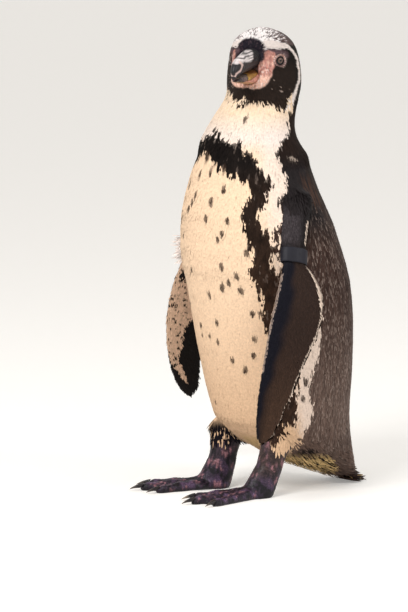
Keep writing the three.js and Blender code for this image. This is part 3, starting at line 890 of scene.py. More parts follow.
# %% Which part of the bird is each point on
def parts_of(mesh):
    """The name of the nearest solid for each vertex, tested only where its box is close."""
    places = read_points(mesh)
    best = np.full(len(places), 1e9)
    found = np.full(len(places), "trunk", dtype="<U16")
    for name, tree in surfaces.items():
        low, high = (np.array(corner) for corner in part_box(name))
        near = np.nonzero(((places > low - 0.004) & (places < high + 0.004)).all(1))[0]
        for i in near:
            away = tree.find_nearest(places[i])[3]
            if away is not None and away < best[i]:
                best[i], found[i] = away, name
    # The legs are feathered down to the thigh's hem, so that much of them counts as trunk.
    p = in_bird(places)
    outer = ease(p[:, 0] * 0.53 + p[:, 1] * 0.85, 0, 10) * (p[:, 0] > 0)
    hem = THIGH_HEM + 12 * (1 - outer) * (p[:, 0] > 0) + ripple(p, 6, 55) * 2
    found[np.char.startswith(found, "leg_") & (p[:, 2] > hem)] = "trunk"
    return found


def relaxed(values, edges, steps, held=None):
    """Averages values with their neighbours a number of times; held points move less."""
    count = np.bincount(edges.ravel(), minlength=len(values))[:, None]
    weight = 0.5 if held is None else 0.5 * (1 - held[:, None])
    for _ in range(steps):
        total = np.zeros_like(values)
        for column, value in enumerate(values.T):
            one = np.bincount(edges[:, 0], value[edges[:, 1]], len(values))
            total[:, column] = one + np.bincount(edges[:, 1], value[edges[:, 0]], len(values))
        values = values + weight * (total / np.maximum(count, 1) - values)
    return values


def edges_of(mesh):
    """Pairs of joined vertices."""
    pairs = np.zeros(len(mesh.edges) * 2, int)
    mesh.edges.foreach_get("vertices", pairs)
    return pairs.reshape(-1, 2)


# %% Even out the joined skin
def both_sides(values):
    """The same value for the left and the right part of each name."""
    return {f"{name}_{side}": values[name] for name in values for side in ("left", "right")}


# Thin parts would shrink if they were smoothed as freely as the trunk.
STIFFNESS_OF = {"tail": 0.7, **both_sides({"flipper": 0.75, "foot": 0.8, "leg": 0.5})}
parts = parts_of(flesh)
held = np.array([STIFFNESS_OF.get(part, 0.0) for part in parts])
for side in ("left", "right"):
    on = parts == "flipper_" + side
    share = along_flipper(in_bird(read_points(flesh))[on], side)[0]
    held[on] *= ease(share, 0.1, 0.2)
edges = edges_of(flesh)
held = relaxed(held[:, None], edges, 3)[:, 0]
smoothed = relaxed(read_points(flesh), edges, 8, held)
# Where the arms leave the trunk, the skin is eased much more, as the feathers hide that place.
p = in_bird(smoothed)
shoulders = [np.linalg.norm(p - SHOULDER * [hand, 1, 1], axis=1) for hand in (1, -1)]
smoothed = relaxed(smoothed, edges, 40, ease(np.minimum(*shoulders), 20, 42))
move_points(flesh, smoothed)
print({name: int((parts == name).sum()) for name in FLESH})

# %% [markdown]
# The face carries folds and lids a fraction of a millimetre wide, and the feet carry scales, so
# their squares are cut smaller: once on the feet and head front, twice on the bare face, and
# three times round each eye. Everything else stays coarse, because the coat hides it.

# %% Refine the face and the feet
def eye_distance(p):
    """Distance to the nearer eye's middle."""
    return np.minimum(*[np.linalg.norm(p - place, axis=1) for place, _ in EYES.values()])


def refine(mesh, choose):
    """Cuts the chosen faces' edges in two, in a grid."""
    bm = bmesh.new()
    bm.from_mesh(mesh)
    bm.faces.ensure_lookup_table()
    middles = in_bird([face.calc_center_median() for face in bm.faces])
    wanted = np.nonzero(choose(middles))[0]
    cut = {edge for i in wanted for edge in bm.faces[i].edges}
    bmesh.ops.subdivide_edges(bm, edges=list(cut), cuts=1, smooth=0.0, use_grid_fill=True)
    bm.to_mesh(mesh)
    bm.free()
    print("refined", len(wanted), "faces ->", len(mesh.polygons))


def on_face(p):
    """The front and sides of the head, round the bill and the eyes."""
    angle, up = round_head(p)
    return (p[:, 2] > 452) & (np.abs(angle) < 84) & (up > -32) & (up < 24)


def on_feet(p):
    """The toes, webs and shins."""
    return (p[:, 2] < 36) & (p[:, 1] < 25)


refine(flesh, lambda p: on_face(p) | on_feet(p))
refine(flesh, lambda p: (bare_share(p) > 0) & (p[:, 2] > 452) | (eye_distance(p) < 12))
refine(flesh, lambda p: eye_distance(p) < 9.6)
parts = parts_of(flesh)
edges = edges_of(flesh)
places = read_points(flesh)
places = relaxed(places, edges, 2, np.where(in_bird(places)[:, 2] > 440, 0, 0.7))
move_points(flesh, places)

# %% [markdown]
# The solids already reach out to the feathers' tips, so the skin has to lie deeper by the coat's
# thickness. A Displace modifier could sink it evenly, but here the depth differs from part to
# part and is nothing on bare skin, so each point moves in along a smoothed normal of its own.

# %% How deep the skin lies under the coat
COAT_DEPTH = {"trunk": 1.4, "neck": 1.3, "head": 1.2, "tail": 2.0}
COAT_DEPTH.update(both_sides({"leg": 0.8, "flipper": 0.9}))
NO_FEATHERS_BY_EYE = 11
normals = unit(relaxed(read_points(flesh, "vertex_normals", "vector"), edges, 6))
depth = np.array([COAT_DEPTH.get(part, 0.0) for part in parts])
p = in_bird(places)
depth *= 1 - np.clip(bare_share(p) * 1.5, 0, 1)
depth[eye_distance(p) < NO_FEATHERS_BY_EYE] = 0
depth = relaxed(depth[:, None], edges, 8)[:, 0]
places = places - normals * depth[:, None] * MM


# %% [markdown]
# The lids, the wrinkles of the bare face and the scales of the feet are real shapes, not only a
# bump in the finish, so they show at the outline too. Each is a function that moves the skin's
# points along a way out, because no operator knows where a penguin's gape or eye is.


# %% Lids, folds and scales
# Radius of the eyeball, and of the lid that is drawn over it.
EYEBALL, LID = 7.0, 7.55
# The skin is all lid within the first distance from the eye's axis, and all face past the second.
LID_FROM, LID_TO = 5.6, 9.5
# How far from its axis an eye draws the skin at all, and how deep the skin lies in the opening.
EYE_REACH, SUNK = 12, 1.6
# The face's folds keep this far from the eyes, and the grooves between scales are this deep.
FOLDS_FROM_EYE = 8.8
SCALE_DEPTH = 0.75


def shape_lids(p):
    """Draws the skin round each eye over the eyeball, with a rounded rim at the opening."""
    p = p.copy()
    for place, hand in EYES.values():
        out, ahead, above = eye_frame(hand)
        q = p - place
        x, y, up = q @ ahead, q @ above, q @ out
        radius = np.hypot(x, y)
        near = (radius < EYE_REACH) & (up > -3)
        opening = np.hypot(x / LID_WIDE, y / LID_HIGH)
        dome = np.sqrt(np.maximum(LID**2 - radius**2, 0.5))
        rim = 0.45 * np.exp(-(((opening - 1.1) / 0.13) ** 2))
        fold = 0.3 * np.exp(-(((opening - 1.75) / 0.16) ** 2))
        lid = np.where(radius < EYEBALL, dome, up) + rim - fold
        share = 1 - ease(radius, LID_FROM, LID_TO)
        wanted = up * (1 - share) + lid * share
        sunk = np.sqrt(np.maximum(EYEBALL**2 - radius**2, 0.5)) - SUNK
        wanted = np.where(opening < 1, sunk, wanted)
        p = p + (out * np.where(near, wanted - up, 0)[:, None])
    return p


def head_out(p):
    """The way out from the middle of the head."""
    return unit(p - HEAD_MIDDLE)


def shape_face(p):
    """Low folds that run back from the gape and round the cheek on the bare skin."""
    angle, up = round_head(p)
    bare = bare_share(p)
    turned = np.abs(angle)
    fold = np.sin((turned * 0.55 + up * 1.1) * 0.9) * 0.16 + ripple(p, 3.0, 61) * 0.14
    fold += np.clip(ripple(p, 1.7, 31), 0, 1) * 0.22
    fold += 0.5 * np.exp(-(((up + 6 - (turned - 22) * 0.2) / 2.2) ** 2)) * (turned > 16)
    return p + head_out(p) * (fold * bare * (eye_distance(p) > FOLDS_FROM_EYE))[:, None]


def shape_scales(p, out, on):
    """Sinks the skin between the scales of the toes and shins."""
    top = ease(p[:, 2], 1.2, 3.5)
    return p - out * ((1 - scale_relief(p)) * SCALE_DEPTH * on * top)[:, None]


legs = np.isin(parts, BARE_LEGS)
p = shape_lids(shape_face(in_bird(places)))
p = shape_scales(p, normals, legs)
p[:, 2] = np.maximum(p[:, 2], 0.0)
places = in_frame(p)
move_points(flesh, places)
print("skin:", len(flesh.vertices), "points", [round(float(v), 4) for v in places.min(0)])

# %% [markdown]
# The skin is unwrapped once on its own shape. That map is used to bake its colours, and each
# feather later borrows the spot on it where it grows.

# %% Unwrap and colour the skin
flesh.uv_layers.new(name="OFBake")
holder = placed("skin_to_unwrap", flesh)
bpy.context.view_layer.objects.active = holder
holder.select_set(True)
bpy.ops.object.mode_set(mode="EDIT")
bpy.ops.mesh.select_all(action="SELECT")
bpy.ops.uv.smart_project(angle_limit=math.radians(60), island_margin=0.001)
bpy.ops.object.mode_set(mode="OBJECT")
bpy.data.objects.remove(holder)


def store_colours(mesh, name, colours):
    """Writes a colour for every vertex of a mesh."""
    layer = mesh.color_attributes.new(name, "FLOAT_COLOR", "POINT")
    full = np.ones((len(mesh.vertices), 4), np.float32)
    full[:, :3] = colours
    layer.data.foreach_set("color", full.ravel())


def store_number(mesh, name, values):
    """Writes a number for every vertex of a mesh."""
    layer = mesh.attributes.new(name, "FLOAT", "POINT")
    layer.data.foreach_set("value", np.asarray(values, np.float32))


skin_normals = read_points(flesh, "vertex_normals", "vector")
skin_draw = relaxed(np.random.default_rng(5).random((len(places), 4)), edges, 1)
store_colours(flesh, "plumage", colours_at(p, parts, skin_normals, skin_draw))
bare = np.clip(bare_share(p) * 0.5 + legs, 0, 1)
store_number(flesh, "bareness", bare)
print("skin coloured and unwrapped")

# %% [markdown]
# Bare skin is netted with tiny pores and a little shiny, and the skin under feathers is matt. One
# number on every point, its bareness, blends the two, so one material serves the whole skin.

# %% Helpers for finishes
def stretched(tree, value, low, high, start=0.0, stop=1.0):
    """Carries a value's range, from start to stop, over to the range from low to high."""
    return node(tree, "MapRange", {"Value": value, 1: start, 2: stop, 3: low, 4: high})


def own_colours(tree, shader, shade):
    """Colours the surface as its points say, lighter and darker by a pattern."""
    colour = node(tree, "VertexColor", layer_name="plumage")
    shaded = node(tree, "VectorMath", {0: colour, 1: shade}, operation="MULTIPLY")
    wire(tree, shader, {"Base Color": shaded})


def bumped(tree, shader, height, strength, distance):
    """Gives a surface a fine relief."""
    bump = node(tree, "Bump", {"Height": height, "Strength": strength, "Distance": distance})
    wire(tree, shader, {"Normal": bump})


def finish_mesh(name, mesh, material, slot, replaced=()):
    """Makes a finished mesh's object, lets it ride on the body, and hides the solids that it
    replaces.
    """
    mesh.materials.clear()
    mesh.materials.append(material)
    mesh.polygons.foreach_set("use_smooth", np.ones(len(mesh.polygons), bool))
    piece = placed(name, mesh)
    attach(piece, "root")
    if replaced:
        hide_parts(*replaced)


# %% The skin's finish
skin_material, tree, shader = new_material("bird_skin")
bareness = node(tree, "Attribute", attribute_name="bareness").outputs["Fac"]
place = own_place(tree)
fine = noise(tree, place, 900.0, 3.0)
pores = node(tree, "TexVoronoi", {"Vector": place, "Scale": 620.0})
light = stretched(tree, fine, 0.82, 1.16)
cells = stretched(tree, pores, 1.15, 0.55, start=0.15, stop=0.75)
net = node(tree, "Mix", {0: bareness, 2: 1.0, 3: cells}, data_type="FLOAT")
own_colours(tree, shader, maths(tree, "MULTIPLY", net, light))
rough = stretched(tree, bareness, 0.8, 0.42)
wire(tree, shader, {"Roughness": rough, "Specular IOR Level": 0.25})
bumped(tree, shader, maths(tree, "MULTIPLY", pores, bareness), 0.35, 0.0006)
finish_mesh("skin", flesh, skin_material, "foot_skin", FLESH)

# %% [markdown]
# ## The coat
# A penguin's feathers are short, stiff and lie like shingles, so the coat is made of thousands
# of thin closed vanes. One vane is modelled with mesh operators; numpy then repeats it at every
# root, because particle hair would be lost on export. Roots are scattered over the skin with an
# even gap, and each vane follows the lie of the plumage at its root.

# %% One vane
def vane_shape(cuts, widths, rises):
    """A thin closed blade from root point to tip point: across, rise and share along it."""
    bm = bmesh.new()
    bmesh.ops.create_cone(
        bm, cap_ends=True, segments=3, radius1=1, radius2=1, depth=cuts[-1] - cuts[0]
    )
    bmesh.ops.translate(bm, verts=bm.verts, vec=(0, 0, (cuts[-1] + cuts[0]) / 2))
    for cut in cuts[1:-1]:
        everything = bm.verts[:] + bm.edges[:] + bm.faces[:]
        bmesh.ops.bisect_plane(bm, geom=everything, plane_co=(0, 0, cut), plane_no=(0, 0, 1))
    caps = [face for face in bm.faces if abs(face.normal.z) > 0.9]
    poles = bmesh.ops.poke(bm, faces=caps)["verts"]
    for pole in poles:
        pole.co = (0, 0, 0 if pole.co.z < 0.5 else 1)
    bmesh.ops.triangulate(bm, faces=bm.faces)
    bm.verts.ensure_lookup_table()
    corners = np.array([vert.co for vert in bm.verts])
    along = corners[:, 2]
    turn = np.arctan2(corners[:, 1], corners[:, 0])
    pole = np.hypot(corners[:, 0], corners[:, 1]) < 1e-6
    # The three edges of the section become the two rims and the raised quill.
    first = turn[np.argmax(~pole)]
    which = np.round((turn - first) / (2 * math.pi / 3)).astype(int) % 3
    across = np.where(pole, 0, np.array([0.0, 1.0, -1.0])[which])
    rise = np.where(pole, 0.3, np.array([1.0, 0.0, 0.0])[which])
    across = across * np.interp(along, [0, *cuts, 1], [0, *widths, 0])
    rise = rise * np.interp(along, [0, *cuts, 1], [0.3, *rises, 0.3])
    faces = np.array([[vert.index for vert in face.verts] for face in bm.faces])
    bm.free()
    # The blade is laid down with its length along y, and its faces are turned to point out.
    solid = np.stack([across, along * 4, rise], 1)
    a, b, c = (solid[faces[:, i]] for i in range(3))
    volume = (np.cross(a, b) * c).sum()
    return across, rise, along, faces if volume > 0 else faces[:, ::-1]


# Cuts across the blade, as shares of its length, with its width and the quill's height there.
BODY_VANE = vane_shape([0.3, 0.7, 0.92], [0.75, 1.0, 0.62], [0.8, 1.0, 0.8])
SMALL_VANE = vane_shape([0.35, 0.78], [0.8, 0.85], [1.0, 0.9])
LONG_VANE = vane_shape([0.12, 0.4, 0.7, 0.9], [0.5, 0.85, 1.0, 0.6], [1.0, 1.0, 0.9, 0.7])
for vane in (BODY_VANE, SMALL_VANE, LONG_VANE):
    print("vane:", len(vane[0]), "points,", len(vane[3]), "triangles")


# %% [markdown]
# Real feathers stand in an even pattern. Points strewn at random clump, so many more are strewn
# than needed, and one that falls nearer than a gap to an earlier one is dropped. A grid of cells
# as wide as the gap makes that test quick, because only the cells next door matter.

# %% Scatter the roots
flesh.calc_loop_triangles()
triangles = read_points(flesh, "loop_triangles", "vertices").astype(int)
triangle_loops = read_points(flesh, "loop_triangles", "loops").astype(int)
skin_uv = read_points(flesh.uv_layers["OFBake"], "uv", "vector", 2)
skin_points = in_bird(read_points(flesh))
root_normals = unit(relaxed(skin_normals, edges, 8))
corner_parts = parts[triangles[:, 0]]
corner_bare = bare[triangles].max(1)
sides = skin_points[triangles]
spans = np.cross(sides[:, 1] - sides[:, 0], sides[:, 2] - sides[:, 0])
areas = np.linalg.norm(spans, axis=1) / 2
# Cells are numbered in one long row, with room for this many each way, and the bird in the middle.
GRID, GRID_MIDDLE = 1000, 400
# The area that one root takes, in gaps squared, and how many roots are strewn for each kept one.
ROOT_AREA, STREWN = 0.6, 2.2


def thinned(places, gap):
    """Keeps, in the order given, each place that is at least a gap from all kept before it."""
    grid = {}
    kept = []
    cells = np.floor(places / gap).astype(np.int64) + GRID_MIDDLE
    codes = (cells[:, 0] * GRID + cells[:, 1]) * GRID + cells[:, 2]
    near = (-1, 0, 1)
    steps = [(i * GRID + j) * GRID + k for i in near for j in near for k in near]
    least = gap * gap
    for index, (code, (x, y, z)) in enumerate(zip(codes.tolist(), places.tolist())):
        for step in steps:
            other = grid.get(code + step)
            if other and (x - other[0]) ** 2 + (y - other[1]) ** 2 + (z - other[2]) ** 2 < least:
                break
        else:
            grid[code] = (x, y, z)
            kept.append(index)
    return np.array(kept, int)


def scatter(wanted, gap, seed):
    """Roots over the chosen triangles: place, normal, part and spot on the skin's unwrap."""
    draw = np.random.default_rng(seed)
    area = areas * wanted
    count = int(area.sum() / (ROOT_AREA * gap * gap) * STREWN)
    picked = draw.choice(len(area), count, p=area / area.sum())
    a, b = draw.random((2, count, 1))
    flip = a + b > 1
    a, b = np.where(flip, 1 - a, a), np.where(flip, 1 - b, b)
    weights = np.concatenate([1 - a - b, a, b], 1)[:, :, None]
    spots = (skin_points[triangles[picked]] * weights).sum(1)
    kept = thinned(spots, gap)
    picked, weights = picked[kept], weights[kept]
    normal = unit((root_normals[triangles[picked]] * weights).sum(1))
    uv = (skin_uv[triangle_loops[picked]] * weights).sum(1)
    return {"place": spots[kept], "normal": normal, "part": corner_parts[picked], "uv": uv}


def chosen(roots, keep):
    """Some of the roots."""
    return {key: values[keep] for key, values in roots.items()}


# %% [markdown]
# Plumage lies like a pelt that was stroked: down the body, back from the bill over the head, and
# out along each flipper. Each feather's way is worked out from the place of its root and laid
# flat on the skin there, so neighbours agree and no parting shows.

# %% The lie of the plumage
def lie_of(p, normal, part):
    """The way each feather points: down the body, back over the head, out along a flipper."""
    way = np.tile([0.0, 0.0, -1.0], (len(p), 1))
    rump = ease(-p[:, 2], -70, -20) * ease(p[:, 1], 20, 70)
    way += np.array([0, 1.6, 0.2]) * rump[:, None]
    way += np.array([0, 0.8, 0]) * (normal[:, 2] < -0.4)[:, None]
    bill = along_bill(p)
    blown = -HEAD_AHEAD - UP * 0.45
    around = head_out(p - HEAD_AHEAD * 12)
    spread = around - HEAD_AHEAD * (around @ HEAD_AHEAD)[:, None]
    front = ease(bill[:, 0], 8, 34)[:, None]
    on_head = ease(p[:, 2], 436, 462)[:, None]
    way = way * (1 - on_head) + (blown + spread * front * 0.9) * on_head
    tail = part == "tail"
    way[tail] = [0, 1.0, -0.16]
    for side in ("left", "right"):
        on = part == "flipper_" + side
        across, step = along_flipper(p[on], side)[1:]
        line = FLIPPERS[side]
        rearward = 0.1 + 0.35 * ease(across, 0.5, 1)
        way[on] = line["along"][step] + line["across"][step] * rearward[:, None]
    return unit(way - normal * (way * normal).sum(1, keepdims=True))


# %% [markdown]
# One object for each feather would be far too many, so every copy of the vane is written into one
# mesh with arrays. Each copy takes its bake map from the spot on the skin where it grows, with a
# tiny patch of its own, and its shading from the skin's normal, so the coat looks soft and whole.

# %% Lay the vanes and join them
# The side of the patch that each vane covers on the bake map, and how low a feather may hang.
PATCH = 0.003
LOWEST = 0.3
BOX_LOW, BOX_HIGH = (np.array(corner) for corner in cad_box)


def vane_mesh(name, vane, place, way, normal, uv, length, width, thick, lift, base, tip, bend):
    """One mesh of all the vanes at the given roots, in metres of the frame."""
    across, rise, along, faces = vane
    count, size = len(place), len(across)
    side = unit(np.cross(way, normal))
    reach = length[:, None] * along
    # A bent vane leaves the skin steeply and flattens towards its tip.
    height = np.sin(lift)[:, None] * reach * (1 + bend * (1 - along))
    out = height + rise * thick[:, None]
    aside = across * width[:, None] / 2
    points = (
        place[:, None]
        + way[:, None] * (reach * np.cos(lift)[:, None])[:, :, None]
        + normal[:, None] * out[:, :, None]
        + side[:, None] * aside[:, :, None]
    )
    points[:, :, 2] = np.maximum(points[:, :, 2], LOWEST)
    points = np.clip(in_frame(points.reshape(-1, 3)), BOX_LOW, BOX_HIGH)
    mesh = bpy.data.meshes.new(name)
    mesh.vertices.add(count * size)
    mesh.vertices.foreach_set("co", points.ravel())
    order = (faces[None] + (np.arange(count) * size)[:, None, None]).reshape(-1)
    mesh.loops.add(len(order))
    mesh.loops.foreach_set("vertex_index", order)
    mesh.polygons.add(len(order) // 3)
    mesh.polygons.foreach_set("loop_start", np.arange(0, len(order), 3))
    mesh.update(calc_edges=True)
    share = ease(along, 0.4, 0.8)[None, :, None]
    colours = base[:, None] * (1 - share) + tip[:, None] * share
    store_colours(mesh, "plumage", colours.reshape(-1, 3))
    low, high = uv.min(0), uv.max(0)
    spot = 0.01 + 0.98 * (uv - low) / (high - low)
    patch = np.stack([across * 0.5, along - 0.5 + rise * 0.12], 1) * PATCH
    baked = np.clip(spot[:, None] + patch, 0.001, 0.999).reshape(-1, 2)
    barbs = np.tile(np.stack([across * 0.5 + 0.5, along], 1), (count, 1))
    for title, flat in (("OFBake", baked), ("vane", barbs)):
        layer = mesh.uv_layers.new(name=title)
        layer.data.foreach_set("uv", flat[order].ravel())
    tilt = (
        normal[:, None] * np.cos(lift)[:, None, None]
        + side[:, None] * (across * 0.16)[None, :, None]
        + way[:, None] * ((along - 0.6) * 0.16)[None, :, None]
    ).reshape(-1, 3)
    mesh.polygons.foreach_set("use_smooth", np.ones(len(mesh.polygons), bool))
    mesh.normals_split_custom_set_from_vertices(unit(tilt).tolist())
    return mesh


# %% [markdown]
# Feathers share one finish: their colour comes from the vane itself, a quill line and slanting
# barbs are drawn along each vane's own map, and a fine grain varies it. Dark feathers are a
# little glossier than pale ones.

# %% The feathers' finish
def feather_finish(name, roughness, gloss):
    """The material of a vane, coloured by its own attribute, and its name."""
    material, tree, shader = new_material(name)
    split = node(tree, "SeparateXYZ", {0: node(tree, "UVMap", uv_map="vane")})
    side = maths(tree, "ABSOLUTE", maths(tree, "SUBTRACT", split, 0.5))
    slant = maths(tree, "MULTIPLY_ADD", side, 1.4, split.outputs[1])
    barbs = maths(tree, "SINE", maths(tree, "MULTIPLY", slant, 95.0))
    quill = stretched(tree, side, 1.0, 0.0, start=0.02, stop=0.07)
    bumped(tree, shader, maths(tree, "MULTIPLY_ADD", barbs, 0.12, quill), 0.18, 0.0001)
    fine = noise(tree, own_place(tree), 420.0, 3.0)
    own_colours(tree, shader, stretched(tree, fine, 0.86, 1.12, start=0.25, stop=0.75))
    wire(tree, shader, {"Roughness": roughness, "Specular IOR Level": gloss})
    return material, name


pale_feathers = feather_finish("pale_feathers", 0.75, 0.07)
dark_feathers = feather_finish("dark_feathers", 0.55, 0.09)

# %% [markdown]
# Feathers are long and broad on the body, narrower on the back, and small by the bill, round the
# eyes and on the flippers. A short function gives the sizes for each kind, in millimetres, and
# the rest of the work is the same for every piece of the coat.

# %% A piece of the coat
bill_trees = [BVHTree.FromBMesh(merged_copy(name)) for name in ("bill_upper", "bill_lower")]
# Roots keep this far from the horn, in metres.
BILL_ROOM = 0.0012
# The quill's height for each millimetre of a vane's width, and how much more steeply than the
# rest a vane leaves the skin: the body's short ones bend more than the long ones.
QUILL = 0.08
BODY_BEND, LONG_BEND = 0.75, 0.4


def clear_of_bill(spots):
    """Which roots are well outside the horn of the bill."""
    clear = np.ones(len(spots), bool)
    bill = along_bill(spots)
    near = (bill[:, 0] > 20) & (np.abs(bill[:, 1]) < 18) & (np.abs(bill[:, 2]) < 30)
    for i in np.nonzero(near)[0]:
        spot = Vector(in_frame(spots[i]))
        for tree in bill_trees:
            place, normal = tree.find_nearest(spot)[:2]
            if (spot - place).dot(normal) < BILL_ROOM:
                clear[i] = False
    return clear


def coat_piece(name, roots, vane, sizes, finish, seed, frost=0.0):
    """A piece of the coat on some roots; sizes give length, width and the tip's height."""
    place, normal, part = roots["place"], roots["normal"], roots["part"]
    count = len(place)
    draw = np.random.default_rng(seed)
    chance = draw.random((count, 4))
    length, width, rise = sizes(place, part)
    hem = 0.45 * ease(-place[:, 2], -84, -62)
    length = length * draw.uniform(0.85 - hem, 1.15, count)
    width = width * draw.uniform(0.85, 1.15, count) * (1 - 0.8 * hem)
    rise = rise + draw.normal(0, 0.08, count)
    lift = np.arcsin(np.clip(rise / length, 0.02, 0.6))
    way = lie_of(place, normal, part)
    swing = np.radians(draw.normal(0, 5, count))[:, None]
    way = way * np.cos(swing) + np.cross(way, normal) * np.sin(swing)
    # Each vane takes its colours from the pattern a little way down it and near its tip.
    base, tip = (
        colours_at(place + way * (length * share)[:, None] + normal * 2, part, normal, chance)
        for share in (0.45, 0.85)
    )
    base = base * (0.84 + 0.12 * ease(tip.mean(1), 0.1, 0.4))[:, None]
    frosted = (tip.mean(1) < 0.12) & (chance[:, 1] < frost * ease(-place[:, 2], -360, -290))
    tip = mix(tip, COAT["frost"], frosted * (0.15 + 0.6 * chance[:, 0] ** 2))
    shape = (length, width, width * QUILL + 0.02, lift)
    mesh = vane_mesh(name, vane, place, way, normal, roots["uv"], *shape, base, tip, BODY_BEND)
    print(name, count, "vanes,", len(mesh.polygons), "triangles")
    finish_mesh(name, mesh, *finish)


# %% Feather sizes
def trunk_sizes(place, part):
    """Long shingles on the body, shorter up the neck, lifted by the depth of the coat."""
    up = ease(place[:, 2], 330, 445)
    depth = np.array([COAT_DEPTH.get(name, 2.0) for name in part])
    return 13.5 - 4.0 * up, 2.5 - 0.3 * up, depth * 0.95


def back_sizes(place, part):
    """The back's shingles are as long as the belly's, but narrower."""
    length, width, rise = trunk_sizes(place, part)
    return length, width * 0.75, rise


def head_sizes(place, part):
    """Tiny feathers by the bill and the eyes, a little longer on the crown and cheeks."""
    far = ease(-along_bill(place)[:, 0], -30, 10)
    hem = ease(-(place - HEAD_MIDDLE)[:, 2], 20, 34)
    length = 3.2 + 2.4 * far + 2.2 * hem
    return length, 0.95 + 0.35 * far + 0.2 * hem, np.full(len(place), 1.1)


def tail_sizes(place, part):
    """Coverts that get longer towards the tail."""
    length = np.clip(128 - place[:, 1], 4.0, 13.0)
    return length, np.full(len(place), 2.6), length * 0.15


def even_sizes(*measures):
    """The same length, width and height of the tip for every feather of a piece."""
    return lambda place, part: [np.full(len(place), measure) for measure in measures]


# %% Lay the coat over trunk, neck, head and flippers
MOST_BARE = 0.18
BODY_GAP, HEAD_GAP = 1.35, 1.0
# Share of the back's dark feathers with pale frosted tips.
FROSTED = 0.3
# No feathers grow under the band, between these shares of the left flipper's length.
BAND_FROM, BAND_TO = 0.216, 0.288
# Height from and to, degrees from the breast's middle from and to, and whether it is the back.
REGIONS = {
    "coat_neck": (380, 999, 0, 181, False),
    "coat_breast": (215, 380, 0, 82, False),
    "coat_belly": (-9, 215, 0, 82, False),
    "coat_back": (215, 380, 82, 181, True),
    "coat_rump": (-9, 215, 82, 181, True),
}
feathered = corner_bare < MOST_BARE
trunk_roots = scatter(np.isin(corner_parts, ["trunk", "neck"]) & feathered, BODY_GAP, 11)
head_roots = scatter((corner_parts == "head") & feathered, HEAD_GAP, 12)
signed = round_body(trunk_roots["place"])
high = trunk_roots["place"][:, 2]
seed = 20
for name, (low, top, front, rear, is_back) in REGIONS.items():
    kind = (back_sizes, dark_feathers) if is_back else (trunk_sizes, pale_feathers)
    for side, on in (("left", signed >= 0), ("right", signed < 0)):
        keep = on & (high >= low) & (high < top) & (abs(signed) >= front) & (abs(signed) < rear)
        seed += 1
        roots = chosen(trunk_roots, keep)
        coat_piece(f"{name}_{side}", roots, BODY_VANE, *kind, seed, FROSTED * is_back)
head_roots = chosen(head_roots, clear_of_bill(head_roots["place"]))
coat_piece("coat_head", head_roots, SMALL_VANE, head_sizes, dark_feathers, 30)
flipper_sizes = even_sizes(4.6, 1.5, 0.65)
for seed, side in enumerate(("left", "right"), 31):
    roots = scatter(corner_parts == "flipper_" + side, BODY_GAP, seed)
    share = along_flipper(roots["place"], side)[0]
    if side == "left":
        roots = chosen(roots, (share < BAND_FROM) | (share > BAND_TO))
    name = "coat_flipper_" + side
    coat_piece(name, roots, SMALL_VANE, flipper_sizes, dark_feathers, seed + 10)

# %% [markdown]
# The stiff tail is a fan of long feathers laid over each other, in two layers. They are placed one
# by one with the long vane, and shorter coverts hide where they start.

# %% The tail
def lone_vanes(name, place, way, normal, length, width, lift, colour, finish, seed):
    """A few vanes placed one by one, each with its own patch of the bake map."""
    count = len(place)
    draw = np.random.default_rng(seed)
    way = unit(way)
    normal = unit(normal - way * (normal * way).sum(1, keepdims=True))
    shade = 0.75 + 0.5 * draw.random((count, 1))
    base = np.clip(colour * shade * 0.8, 0.001, 1)
    tip = np.clip(colour * shade, 0.001, 1)
    row = np.arange(count)
    spread = np.stack([row % 8 / 7, row // 8 / max(1, (count - 1) // 8)], 1)
    shape = (length, width, width * QUILL + 0.15, np.radians(lift))
    mesh = vane_mesh(name, LONG_VANE, place, way, normal, spread, *shape, base, tip, LONG_BEND)
    print(name, count, "vanes")
    finish_mesh(name, mesh, *finish)


TAIL_GAP = 2.4
TAIL_FEATHERS = 44
roots = scatter(corner_parts == "tail", TAIL_GAP, 50)
coat_piece("coat_tail", roots, BODY_VANE, tail_sizes, dark_feathers, 51)
draw = np.random.default_rng(60)
count = TAIL_FEATHERS
fan = np.linspace(-1, 1, count // 2)
fan = np.concatenate([fan, fan * 0.9])
layer = np.repeat([0.0, 1.0], count // 2)
place = np.stack([fan * 16, 84 + 3 * layer, 12.5 - 5 * fan**2 + layer * 2.6], 1)
way = np.stack([fan * 0.24 + draw.normal(0, 0.04, count), np.ones(count), -0.25 + 0.03 * layer], 1)
normal = np.stack([fan * 0.35, np.full(count, 0.2), np.ones(count)], 1)
length = 43 - 9 * fan**2 - 3 * layer + draw.uniform(-9, 1.0, count)
width, lift = np.full(count, 4.4), np.full(count, 2.0)
colour = COAT["back"] * 0.55 * draw.uniform(0.5, 1.5, (count, 1))
name = "tail_feathers"
lone_vanes(name, place, way, normal, length, width, lift, colour, dark_feathers, 61)

# %% [markdown]
# Three small pieces break the smooth outline where a real bird's does: long scapulars over the
# top of each arm, shaggy straw-coloured feathers under the tail, and a few wisps of white down
# that stick out of the belly's edge in front of the right flipper.

# %% Scapulars, vent and down
SCAPULAR_GAP, VENT_GAP = 1.6, 3.0
# The wisps grow round this angle and height on the right side of the breast.
WISP_ANGLE, WISP_HEIGHT = -36, 276
centres = sides.mean(1)
round_centres = np.abs(round_body(centres))
arm_top = (centres[:, 2] > 334) & (centres[:, 2] < 376)
arm_top &= (round_centres > 88) & (round_centres < 126)
arm_top &= np.isin(corner_parts, ["trunk", "flipper_left", "flipper_right"])
roots = scatter(arm_top, SCAPULAR_GAP, 70)
